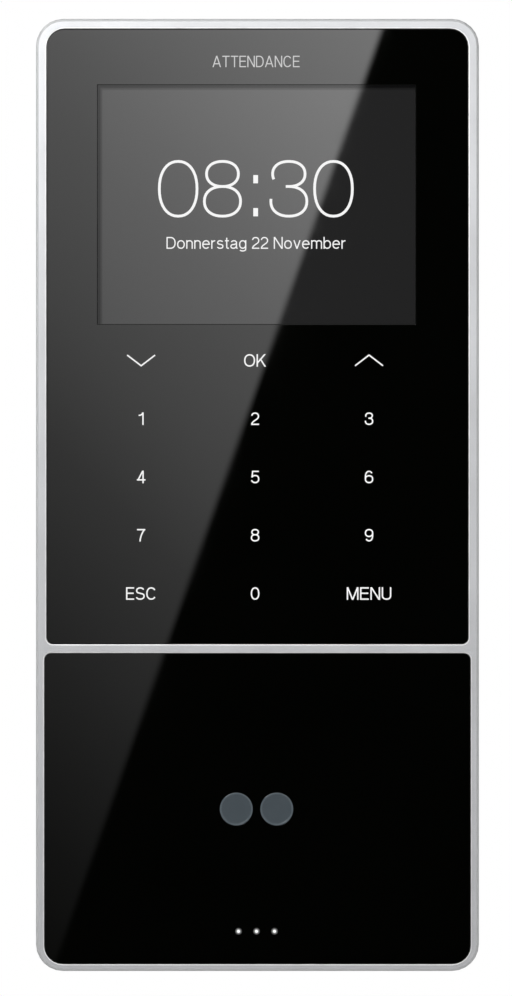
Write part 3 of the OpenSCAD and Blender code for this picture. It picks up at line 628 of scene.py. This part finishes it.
def make_window_rims():
    """A rim round each camera window in a lighter copy of the window's finish: a painted highlight"""
    low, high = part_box("camera_windows")
    radius = (high.z - low.z) / 2
    face, z = -low.y, (low.z + high.z) / 2
    outer, inner = radius - RIM_GAP, radius - RIM_GAP - RIM_WIDTH
    profile = ((outer, face - 0.0001), (outer, face + 0.00002), (outer - 0.00008, face + 0.00005),
               (inner + 0.00005, face + 0.00005), (inner, face + 0.00002), (inner, face - 0.0001))
    angles = [2 * math.pi * i / RIM_STEPS for i in range(RIM_STEPS)]
    bm = bmesh.new()
    for x in (low.x + radius, high.x - radius):
        rows = [[bm.verts.new((x + r * math.cos(a), -d, z + r * math.sin(a))) for r, d in profile]
                for a in angles]
        for i, row in enumerate(rows):
            after = rows[(i + 1) % RIM_STEPS]
            for k in range(len(profile)):
                m = (k + 1) % len(profile)
                bm.faces.new((row[k], row[m], after[m], after[k]))
    mesh = mesh_of(bm, "camera_window_rims")
    new_piece("camera_window_rims", mesh, "terminal", "window", WINDOW_RIM_HIGHLIGHT.material)
    smooth_by_angle(mesh, 50)


def evenly(first, last, inset, count):
    """Evenly spaced middles between a row's two outer edges, which lie `inset` beyond the end ones"""
    return [first + inset + i * (last - first - 2 * inset) / (count - 1) for i in range(count)]


# Radii and heights over the panel's face
LIGHT_DOME = ((0, 0.00008), (0.00018, 0.00007), (0.00034, 0.00004), (0.00044, -0.00001),
              (0.00044, -0.0003), (0, -0.0003))
LIGHT_BLEED = ((0, 0.00002), (0.00064, 0.00002), (0.00070, 0), (0.00070, -0.0001), (0, -0.0001))
LED_HALF_X, LED_HALF_Z = 0.0008, 0.0004


def make_status_lights():
    """The lit ends of the light pipes, a little domed, each in a faint ring of stray light"""
    low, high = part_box("status_leds")
    z = (low.z + high.z) / 2
    face = -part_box("light_pipes")[0].y
    for name, profile, finish in (("status_light_ends", LIGHT_DOME, LIT_WHITE),
                                  ("status_light_halos", LIGHT_BLEED, HALO)):
        bm = bmesh.new()
        for x in evenly(low.x, high.x, LED_HALF_X, 3):
            lathe(bm, x, z, [(r, face + d) for r, d in profile], 32)
        mesh = mesh_of(bm, name)
        new_piece(name, mesh, "terminal", "light_guide", finish)
        smooth_by_angle(mesh, 50)


# Widths of the painted shadow's dark strip and of its fading strip
SHADOW_BAND_WIDTH = 0.0006
SHADOW_FADE_WIDTH = 0.0004
STRIP_SUNK = 0.0001


def make_display_shadow():
    """Painted shadow on the display along the window's left and top edges: an unlit, less glossy strip,
    then a fading strip
    """
    low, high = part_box("display_glass")
    front = low.y
    for name, near, far, proud, finish in (
            ("display_painted_shadow", 0, SHADOW_BAND_WIDTH, 0.00002, DISPLAY_SHADOW),
            ("display_painted_shadow_fade", SHADOW_BAND_WIDTH, SHADOW_BAND_WIDTH + SHADOW_FADE_WIDTH, 0.000012, DISPLAY_SHADOW_FADE)):
        bm = bmesh.new()
        box_of(bm, (low.x + near, front - proud, low.z), (low.x + far, front + STRIP_SUNK, high.z - far))
        box_of(bm, (low.x + near, front - proud, high.z - far), (high.x, front + STRIP_SUNK, high.z - near))
        new_piece(name, mesh_of(bm, name), "terminal", "display", finish.material)


CONTACT_PITCH = 0.00102
CONTACT_HALF = 0.0002
# A contact's path: distance from the socket's back wall, and height above its mouth
CONTACT_PATH = ((0.00005, 0.0012), (0.0006, 0.0022), (0.0022, 0.0085), (0.0024, 0.0093), (0.0021, 0.0099))
SOCKET_WALL = 0.0014


def make_network_contacts():
    """Eight sprung contacts that lean into the network socket's opening"""
    low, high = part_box("network_socket")
    middle, back, mouth = (low.x + high.x) / 2, -high.y + SOCKET_WALL, low.z
    bm = bmesh.new()
    for i in range(8):
        x = middle + (i - 3.5) * CONTACT_PITCH
        left, right = x - CONTACT_HALF, x + CONTACT_HALF
        rings = []
        for away, up in CONTACT_PATH:
            y, z = -back - away, mouth + up
            rings.append([(left, y, z - 0.0001), (right, y, z - 0.0001),
                          (right, y - 0.0002, z + 0.0001), (left, y - 0.0002, z + 0.0001)])
        solid_ring(bm, rings)
    new_piece("network_contacts", mesh_of(bm, "network_contacts"), "terminal", "gold_pin")


make_front_frame()
make_lock_screw()
make_diaphragm()
make_tamper_spring()
make_window_rims()
make_status_lights()
make_display_shadow()
make_network_contacts()

# ------------------------------------------------------------------ lettering
# Plain one-line letters. A glyph is its width and its strokes, both in cap heights;
# h is half the stroke's thickness. A stroke is a kind and its points.

X_HEIGHT = 0.727


def oval(cx, cy, rx, ry, start=0, end=360, power=2.2):
    """Points along a slightly squared ellipse, from angle start to angle end"""
    steps = max(6, round(abs(end - start) / 9))
    count = steps if abs(end - start) == 360 else steps + 1
    points = []
    for i in range(count):
        angle = math.radians(start + (end - start) * i / steps)
        c, s = math.cos(angle), math.sin(angle)
        points.append((cx + rx * math.copysign(abs(c) ** (2 / power), c),
                       cy + ry * math.copysign(abs(s) ** (2 / power), s)))
    return points


def bend(a, b, c, d, steps=10):
    """Points along a cubic curve"""
    points = []
    for i in range(steps + 1):
        t = i / steps
        u = 1 - t
        points.append(tuple(u ** 3 * a[k] + 3 * u * u * t * b[k] + 3 * u * t * t * c[k] + t ** 3 * d[k]
                            for k in (0, 1)))
    return points


def line(*points):
    return "line", list(points)


def loop(points):
    return "loop", points


def bar(a, b):
    """A straight stroke whose ends are cut level"""
    return "bar", [a, b]


def lobes(w, h, top, waist):
    """Centre heights and radii of a figure's upper and lower rounds"""
    upper = ((top - h + waist) / 2, (top - h - waist) / 2)
    lower = ((waist + h) / 2, (waist - h) / 2)
    return upper, lower, w / 2 - h


def glyph_1(w, h):
    flag = bend((0, 0.765), (0.16, 0.765), (w - 2 * h, 0.81), (w - 1.4 * h, 0.99))
    return [bar((w - h, 0), (w - h, 1)), line(*flag)]


def glyph_3(w, h):
    (cu, ru), (cl, rl), rx = lobes(w, h, 1, 0.54)
    return [line(*oval(w / 2, cu, 0.9 * rx, ru, 203, -82), (0.42 * w, 0.54)),
            line((0.5 * w, 0.54), *oval(w / 2, cl, rx, rl, 82, -188))]


def glyph_8(w, h):
    (cu, ru), (cl, rl), rx = lobes(w, h, 1, 0.54)
    return [loop(oval(w / 2, cu, 0.88 * rx, ru)), loop(oval(w / 2, cl, rx, rl))]


def glyph_2(w, h):
    top = oval(w / 2, 0.70, w / 2 - h, 0.30 - h, 172, -30)
    x, y = top[-1]
    return [line(*top, *bend((x, y), (x - 0.10, y - 0.17), (h + 0.02, 0.30), (h, h))),
            line((0, h), (w, h))]


def glyph_6(w, h):
    return [loop(oval(w / 2, 0.325, w / 2 - h, 0.325 - h)),
            line(*oval(w / 2, 0.5, w / 2 - h, 0.5 - h, 40, 180), (h, 0.33))]


def glyph_7(w, h):
    stem = bend((w - 1.2 * h, 1 - h), (0.62 * w, 0.74), (0.40 * w, 0.36), (0.36 * w, 0))
    return [line((0, 1 - h), (w, 1 - h)), line(*stem)]


def glyph_9(w, h):
    return [(kind, [(w - x, 1 - y) for x, y in points]) for kind, points in glyph_6(w, h)]


def curved_s(w, h, top):
    (cu, ru), (cl, rl), rx = lobes(w, h, top, 0.515 * top)
    upper = oval(w / 2, cu, 0.9 * rx, ru, 20, 228)
    lower = oval(w / 2, cl, rx, rl, 48, -162)
    return [line(*upper, *lower)]


def arch(x0, x1, h, rise):
    """The shoulder of n and m, with its right leg"""
    return line(*oval((x0 + x1) / 2, X_HEIGHT - h - rise, (x1 - x0) / 2, rise, 180, 0), (x1, 0))


def glyph_a(w, h):
    x = 0.92 * w - h
    top = oval(x / 2 + h / 2 + 0.02, X_HEIGHT - h - 0.17, x / 2 - h / 2 - 0.02, 0.17, 165, 0)
    return [line(*top, *bend((x, 0.14), (x, h), (x + 0.03, h), (w, h))),
            line((x, 0.43), *oval(0.42 * w, 0.205, 0.42 * w - h, 0.205 - h, 80, 320), (x, 0.2))]


GLYPHS = {
    "0": (0.69, lambda w, h: [loop(oval(w / 2, 0.5, w / 2 - h, 0.5 - h))]),
    "1": (0.40, glyph_1),
    "2": (0.64, glyph_2),
    "3": (0.68, glyph_3),
    "4": (0.69, lambda w, h: [bar((0.72 * w, 0), (0.72 * w, 1)), line((0, 0.27), (w, 0.27)),
                              bar((1.3 * h, 0.27 - h), (0.70 * w, 1))]),
    "5": (0.68, lambda w, h: [line((w - 0.04, 1 - h), (0.15, 1 - h), (0.09, 0.46)),
                              line(*oval(w / 2, 0.335, w / 2 - h, 0.335 - h, 143, -163))]),
    "6": (0.68, glyph_6),
    "7": (0.66, glyph_7),
    "8": (0.69, glyph_8),
    "9": (0.68, glyph_9),
    "A": (0.90, lambda w, h: [bar((1.1 * h, 0), (w / 2, 1)), bar((w - 1.1 * h, 0), (w / 2, 1)),
                              line((0.2 * w, 0.3), (0.8 * w, 0.3))]),
    "C": (0.87, lambda w, h: [line(*oval(w / 2, 0.5, w / 2 - h, 0.5 - h, 36, 324))]),
    "D": (0.80, lambda w, h: [loop([(h, h), (h, 1 - h)]
                                   + oval(0.44 * w, 0.5, 0.56 * w - h, 0.5 - h, 90, -90))]),
    "E": (0.70, lambda w, h: [line((w, 1 - h), (h, 1 - h), (h, h), (w, h)),
                              line((2 * h, 0.52), (w - 0.04, 0.52))]),
    "K": (0.84, lambda w, h: [bar((h, 0), (h, 1)), bar((h, 0.28), (w - 1.7 * h, 1)),
                              bar((w - 1.3 * h, 0), (0.38 * w, 0.64))]),
    "M": (0.94, lambda w, h: [bar((h, 0), (h, 1)), bar((w - h, 0), (w - h, 1)),
                              bar((1.2 * h, 1), (w / 2, 0)), bar((w - 1.2 * h, 1), (w / 2, 0))]),
    "N": (0.78, lambda w, h: [bar((h, 0), (h, 1)), bar((w - h, 0), (w - h, 1)),
                              bar((1.2 * h, 1), (w - 1.2 * h, 0))]),
    "O": (0.97, lambda w, h: [loop(oval(w / 2, 0.5, w / 2 - h, 0.5 - h))]),
    "S": (0.79, lambda w, h: curved_s(w, h, 1)),
    "T": (0.77, lambda w, h: [line((0, 1 - h), (w, 1 - h)), bar((w / 2, 0), (w / 2, 1 - 2 * h))]),
    "U": (0.77, lambda w, h: [line((h, 1), *oval(w / 2, 0.34, w / 2 - h, 0.34 - h, 180, 360), (w - h, 1))]),
    "a": (0.64, glyph_a),
    "b": (0.65, lambda w, h: [bar((h, 0), (h, 1)),
                              loop(oval(w / 2, X_HEIGHT / 2, w / 2 - h, X_HEIGHT / 2 - h))]),
    "e": (0.66, lambda w, h: [line((h, 0.385), (w - h, 0.385),
                                   *oval(w / 2, X_HEIGHT / 2, w / 2 - h, X_HEIGHT / 2 - h, 8, 318))]),
    "g": (0.63, lambda w, h: [loop(oval(w / 2, X_HEIGHT / 2, w / 2 - h, X_HEIGHT / 2 - h)),
                              line((w - h, X_HEIGHT), *oval(w / 2, -0.02, w / 2 - h, 0.21 - h, 0, -150))]),
    "m": (0.96, lambda w, h: [bar((h, 0), (h, X_HEIGHT)), arch(h, w / 2, h, 0.18),
                              arch(w / 2, w - h, h, 0.18)]),
    "n": (0.57, lambda w, h: [bar((h, 0), (h, X_HEIGHT)), arch(h, w - h, h, 0.2)]),
    "o": (0.67, lambda w, h: [loop(oval(w / 2, X_HEIGHT / 2, w / 2 - h, X_HEIGHT / 2 - h))]),
    "r": (0.36, lambda w, h: [bar((h, 0), (h, X_HEIGHT)),
                              line(*oval(w, X_HEIGHT - h - 0.26, w - h, 0.26, 180, 92))]),
    "s": (0.58, lambda w, h: curved_s(w, h, X_HEIGHT)),
    "t": (0.34, lambda w, h: [line((0.46 * w, 0.93), (0.46 * w, 0.2),
                                   *bend((0.46 * w, 0.2), (0.46 * w, h), (0.6 * w, h), (w, h))),
                              line((0, X_HEIGHT - h), (w, X_HEIGHT - h))]),
    "v": (0.64, lambda w, h: [bar((1.1 * h, X_HEIGHT), (w / 2, 0)),
                              bar((w - 1.1 * h, X_HEIGHT), (w / 2, 0))]),
}
LETTER_GAP = 0.13
WORD_GAP = 0.50


def outline_of(kind, points, half):
    """The two edges of a stroke, mitred at its corners"""
    if kind == "bar":
        a, b = points
        reach = half * (b - a).length / max(abs(b.y - a.y), 1e-9)
        side = Vector((reach, 0)) * (1 if b.y < a.y else -1)
        return [a + side, b + side], [a - side, b - side]
    kept = [p for i, p in enumerate(points) if i == 0 or (p - points[i - 1]).length > half * 0.02]
    left, right = [], []
    for i, p in enumerate(kept):
        closed = kind == "loop"
        a = (p - kept[i - 1]) if (i or closed) else (kept[1] - p)
        b = (kept[(i + 1) % len(kept)] - p) if (i < len(kept) - 1 or closed) else a
        na = Vector((-a.y, a.x)).normalized()
        nb = Vector((-b.y, b.x)).normalized()
        across = (na + nb).normalized()
        reach = half / max(across.dot(na), 0.4)
        left.append(p + across * reach)
        right.append(p - across * reach)
    return left, right


INK = 0.00003                   # a stroke's thickness
INK_STEP, INK_LEVELS = 0.0000006, 5     # crossing strokes lie at slightly different heights


class Print:
    """Collects strokes as thin solid ribbons that lie on a face of the front"""

    def __init__(self, depth):
        self.depth = depth
        self.bm = bmesh.new()
        self.count = 0

    def stroke(self, kind, points, half):
        left, right = outline_of(kind, [Vector(p) for p in points], half)
        front = -self.depth - INK / 3 - INK_STEP * (self.count % INK_LEVELS)
        back = front + INK
        self.count += 1
        rows = [[self.bm.verts.new((p.x, y, p.y)) for p in side]
                for side, y in ((left, front), (right, front), (right, back), (left, back))]
        number = len(left)
        closed = kind == "loop"
        for i in range(number if closed else number - 1):
            j = (i + 1) % number
            for k in range(4):
                a, b = rows[k], rows[(k + 1) % 4]
                self.bm.faces.new((a[i], a[j], b[j], b[i]))
        if not closed:
            self.bm.faces.new([row[0] for row in rows])
            self.bm.faces.new([row[-1] for row in reversed(rows)])

    def glyph(self, character, x, z, height, half, stretch=1.0):
        """One glyph with its left edge at x and its baseline at z"""
        width, strokes = GLYPHS[character]
        for kind, points in strokes(width * stretch, half / height):
            self.stroke(kind, [(x + px * height, z + pz * height) for px, pz in points], half)

    def text(self, words, centre, z, height, half, length):
        """Words on a baseline, spaced to a given length"""
        steps, natural = [], 0
        for i, character in enumerate(words):
            if character == " ":
                natural += WORD_GAP - LETTER_GAP
                continue
            steps.append((character, natural))
            natural += GLYPHS[character][0] + LETTER_GAP
        natural -= LETTER_GAP
        stretch = length / (natural * height)
        for character, start in steps:
            x = centre - length / 2 + start * stretch * height
            self.glyph(character, x, z, height, half, stretch)

    def finish(self, name, slot, material):
        new_piece(name, mesh_of(self.bm, name), "terminal", slot, material)


PANEL_FACE = -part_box("upper_panel")[0].y
GLASS_FACE = -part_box("display_glass")[0].y
led_lo, led_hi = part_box("key_leds")
KEY_COLUMNS = evenly(led_lo.x, led_hi.x, LED_HALF_X, 3)
KEY_ROWS = evenly(led_hi.z, led_lo.z, -LED_HALF_Z, 5)
KEY_HEIGHT = 0.00265
KEY_HALF = 0.000145
DIGIT_WIDTH = 0.0018            # of a figure that is 0.68 cap heights wide
ARROW_HALF_X, ARROW_HALF_Z = 0.00295, 0.00113
KEY_WORDS = {(0, 1): ("OK", 0.00465), (4, 0): ("ESC", 0.00637), (4, 2): ("MENU", 0.0094)}
KEY_DIGITS = {(1, 0): "1", (1, 1): "2", (1, 2): "3", (2, 0): "4", (2, 1): "5", (2, 2): "6",
              (3, 0): "7", (3, 1): "8", (3, 2): "9", (4, 1): "0"}


def print_keys():
    keys = Print(PANEL_FACE)
    legends = dict(KEY_WORDS)
    for place, digit in KEY_DIGITS.items():
        legends[place] = (digit, DIGIT_WIDTH * GLYPHS[digit][0] / 0.68)
    for (row, column), (word, length) in legends.items():
        base = KEY_ROWS[row] - KEY_HEIGHT / 2
        keys.text(word, KEY_COLUMNS[column], base, KEY_HEIGHT, KEY_HALF, length)
    for column, up in ((0, -1), (2, 1)):
        x, z, rise = KEY_COLUMNS[column], KEY_ROWS[0], up * ARROW_HALF_Z
        keys.stroke("line", [(x - ARROW_HALF_X, z - rise), (x, z + rise), (x + ARROW_HALF_X, z - rise)],
                    KEY_HALF)
    keys.finish("key_legends", "light_guide", LIT_WHITE)


TEXT_CENTRE = -0.0003
WORD = "ATTENDANCE"
WORD_BASE, WORD_HEIGHT, WORD_HALF, WORD_LENGTH = 0.0903, 0.0024, 0.00011, 0.0184


def print_word():
    word = Print(PANEL_FACE)
    word.text(WORD, TEXT_CENTRE, WORD_BASE, WORD_HEIGHT, WORD_HALF, WORD_LENGTH)
    word.finish("top_word", "light_guide", LIT_GREY)


CLOCK_BASE = 0.05858
CLOCK_HEIGHT = 0.01212
CLOCK_HALF = 0.00028
# Each figure's left edge and width
CLOCK_FIGURES = (("0", -0.0210, 0.00852), ("8", -0.01149, 0.0082), ("3", 0.00254, 0.00817),
                 ("0", 0.01178, 0.00853))
COLON_X = -0.00038
COLON_ZS = (0.06667, 0.0597)
DOT_HALF_X, DOT_HALF_Z = 0.0005, 0.00087
DATE = "Donnerstag 22 November"
DATE_BASE, DATE_HEIGHT, DATE_HALF, DATE_LENGTH = 0.05197, 0.0025, 0.00012, 0.0378


def print_display():
    clock = Print(GLASS_FACE)
    for figure, x, width in CLOCK_FIGURES:
        clock.glyph(figure, x, CLOCK_BASE, CLOCK_HEIGHT, CLOCK_HALF,
                    width / CLOCK_HEIGHT / GLYPHS[figure][0])
    for z in COLON_ZS:
        clock.stroke("bar", [(COLON_X, z - DOT_HALF_Z), (COLON_X, z + DOT_HALF_Z)], DOT_HALF_X)
    clock.text(DATE, TEXT_CENTRE, DATE_BASE, DATE_HEIGHT, DATE_HALF, DATE_LENGTH)
    clock.finish("display_characters", "display", LIT_WHITE)


print_keys()
print_word()
print_display()

# ------------------------------------------------------------------ stage

def area_light(name, place, target, size, power):
    data = bpy.data.lights.new(name, "AREA")
    data.shape = "RECTANGLE"
    data.size, data.size_y = size
    data.energy = power
    lamp = bpy.data.objects.new(name, data)
    lamp.location = place
    lamp.rotation_euler = (Vector(target) - Vector(place)).to_track_quat("-Z", "Y").to_euler()
    lamp.visible_camera = False
    bpy.context.scene.collection.objects.link(lamp)


# Each lamp's place, what it points at, its size and its power
LAMPS = {
    "key_left": ((-0.22, -0.35, 0.25), (0, 0, 0.01), (0.25, 0.3), 1.66),
    "key_above": ((-0.05, -0.45, 0.30), (0, 0, 0), (0.5, 0.3), 0.5),
    "fill_high": ((0.30, -0.45, 0.22), (0, 0, 0), (0.3, 0.3), 0.35),
    "fill_right": ((0.35, -0.55, 0), (0, 0, 0), (0.3, 0.6), 0.5),
    "back_left": ((-0.6, 0.7, 0.45), (0, 0, 0), (0.5, 0.5), 5.0),
    "back_right": ((0.7, 0.6, 0.1), (0, 0, 0), (0.5, 0.5), 4.0),
}
for name, lamp in LAMPS.items():
    area_light(name, *lamp)

CEILING_RISE = (0.10, 0.75)     # heights, as shares of the sky, between which the ceiling comes in
ROOM_LEVELS = (0.006, 0.24)     # light from the room's dark lower part and from its ceiling


def make_world():
    """White behind the object, and a dim room with a pale ceiling for everything it reflects"""
    world = bpy.data.worlds.new("studio")
    bpy.context.scene.world = world
    world.use_nodes = True
    tree = world.node_tree
    tree.nodes.clear()
    where = tree.nodes.new("ShaderNodeTexCoord")
    split = tree.nodes.new("ShaderNodeSeparateXYZ")
    tree.links.new(where.outputs["Generated"], split.inputs[0])
    ramp = tree.nodes.new("ShaderNodeMapRange")
    ramp.interpolation_type = "SMOOTHSTEP"
    set_range(ramp, *CEILING_RISE, *ROOM_LEVELS)
    tree.links.new(split.outputs["Z"], ramp.inputs["Value"])
    room = tree.nodes.new("ShaderNodeBackground")
    tree.links.new(ramp.outputs["Result"], room.inputs["Strength"])
    white = tree.nodes.new("ShaderNodeBackground")
    white.inputs["Color"].default_value = (1, 1, 1, 1)
    white.inputs["Strength"].default_value = 1.0
    path = tree.nodes.new("ShaderNodeLightPath")
    mix = tree.nodes.new("ShaderNodeMixShader")
    tree.links.new(path.outputs["Is Camera Ray"], mix.inputs["Fac"])
    tree.links.new(room.outputs[0], mix.inputs[1])
    tree.links.new(white.outputs[0], mix.inputs[2])
    out = tree.nodes.new("ShaderNodeOutputWorld")
    tree.links.new(mix.outputs[0], out.inputs["Surface"])


make_world()
# What the glossy front mirrors: a tall bright window beyond the camera, cut off by a slanted
# edge. Its pattern is laid out at the size that it has on the glass.
CARD_DISTANCE = 2.2
CARD_SCALE = 1 + CARD_DISTANCE / CAMERA_DISTANCE
MIRRORED = 0.0387               # share of light that the acrylic reflects head on
SLANT_TOP, SLANT_FOOT = (0.0254, 0.0960), (-0.0410, -0.0939)
SLANT_SOFT = 0.0010
CARD_LEFT = -0.0417             # it brightens along the diagonal from its lower left
# Places along the diagonal and the light that the glass shows there
CARD_LEVELS = ((-0.100, 0.0028), (-0.075, 0.0060), (-0.054, 0.0101), (-0.037, 0.0145), (-0.0095, 0.0240),
               (0.0095, 0.0318), (0.0422, 0.0550), (0.079, 0.0772), (0.096, 0.0916), (0.157, 0.1605),
               (0.170, 0.1760))


def card_material():
    s = Surface("window_light", (0, 0, 0), 1)
    where = s.node("ShaderNodeTexCoord")
    mapping = s.node("ShaderNodeMapping", Scale=(1 / CARD_SCALE,) * 3)
    s.link(where.outputs["Object"], mapping.inputs["Vector"])
    split = s.node("ShaderNodeSeparateXYZ")
    s.link(mapping.outputs["Vector"], split.inputs[0])

    def maths(kind, a, b):
        made = s.node("ShaderNodeMath", operation=kind)
        for socket, value in zip(made.inputs, (a, b)):
            if isinstance(value, float):
                socket.default_value = value
            else:
                s.link(value, socket)
        return made.outputs[0]

    x, z = split.outputs["X"], split.outputs["Z"]
    slope = (SLANT_TOP[0] - SLANT_FOOT[0]) / (SLANT_TOP[1] - SLANT_FOOT[1])
    start = SLANT_TOP[0] - slope * SLANT_TOP[1]
    beyond = maths("SUBTRACT", maths("SUBTRACT", x, maths("MULTIPLY", z, slope)), start)
    inside = s.node("ShaderNodeMapRange", interpolation_type="SMOOTHSTEP")
    set_range(inside, -SLANT_SOFT, SLANT_SOFT, 1, 0)
    s.link(beyond, inside.inputs["Value"])
    span = s.node("ShaderNodeMapRange")
    set_range(span, CARD_LEVELS[0][0], CARD_LEVELS[-1][0], 0, 1)
    s.link(maths("ADD", z, maths("SUBTRACT", x, CARD_LEFT)), span.inputs["Value"])
    ramp = s.node("ShaderNodeValToRGB")
    low, high = CARD_LEVELS[0][0], CARD_LEVELS[-1][0]
    brightest = CARD_LEVELS[-1][1]
    elements = ramp.color_ramp.elements
    while len(elements) < len(CARD_LEVELS):
        elements.new(0.5)
    for element, (height, level) in zip(elements, CARD_LEVELS):
        element.position = (height - low) / (high - low)
    for element, (height, level) in zip(elements, CARD_LEVELS):
        element.color = (level / brightest,) * 3 + (1,)
    s.link(span.outputs["Result"], ramp.inputs["Fac"])
    light = maths("MULTIPLY", ramp.outputs["Color"], inside.outputs["Result"])
    glow = s.node("ShaderNodeEmission")
    s.link(maths("MULTIPLY", light, brightest / MIRRORED), glow.inputs["Strength"])
    out = s.tree.nodes["Material Output"]
    s.link(glow.outputs[0], out.inputs["Surface"])
    return s.material


CARD_HALF, CARD_FOOT, CARD_HEAD = 0.06, -0.12, 0.115


def make_card():
    half, low, high = CARD_HALF * CARD_SCALE, CARD_FOOT * CARD_SCALE, CARD_HEAD * CARD_SCALE
    mesh = bpy.data.meshes.new("window_card")
    mesh.from_pydata([(-half, 0, low), (half, 0, low), (half, 0, high), (-half, 0, high)],
                     [], [(0, 1, 2, 3)])
    card = bpy.data.objects.new("window_card", mesh)
    shift = 1 - CARD_SCALE
    card.location = (VIEW_CENTRE[0] * shift, front_y - CARD_DISTANCE, VIEW_CENTRE[1] * shift)
    mesh.materials.append(card_material())
    bpy.context.scene.collection.objects.link(card)
    for kind in ("camera", "diffuse", "transmission", "volume_scatter", "shadow"):
        setattr(card, "visible_" + kind, False)


FLOOR_RADIUS, FLOOR_Z, FLOOR_GLOW = 1.3, -0.32, 0.25


def make_floor():
    mesh = bpy.data.meshes.new("floor")
    bm = bmesh.new()
    bmesh.ops.create_circle(bm, cap_ends=True, radius=FLOOR_RADIUS, segments=96)
    bm.to_mesh(mesh)
    bm.free()
    floor = bpy.data.objects.new("floor", mesh)
    floor.location = (0, 0, FLOOR_Z)
    s = Surface("pale_floor", (0.8, 0.8, 0.79), 0.7)
    s.tint(s.noise(0.15, 4), (0.78, 0.78, 0.77), (0.82, 0.82, 0.81))
    s.bump(s.noise(0.004, 3), 0.00005, 0.2)
    s.glow((1, 1, 1), FLOOR_GLOW)
    mesh.materials.append(s.material)
    bpy.context.scene.collection.objects.link(floor)
    floor.visible_glossy = False


make_card()
make_floor()
bpy.context.scene.view_settings.view_transform = "Standard"
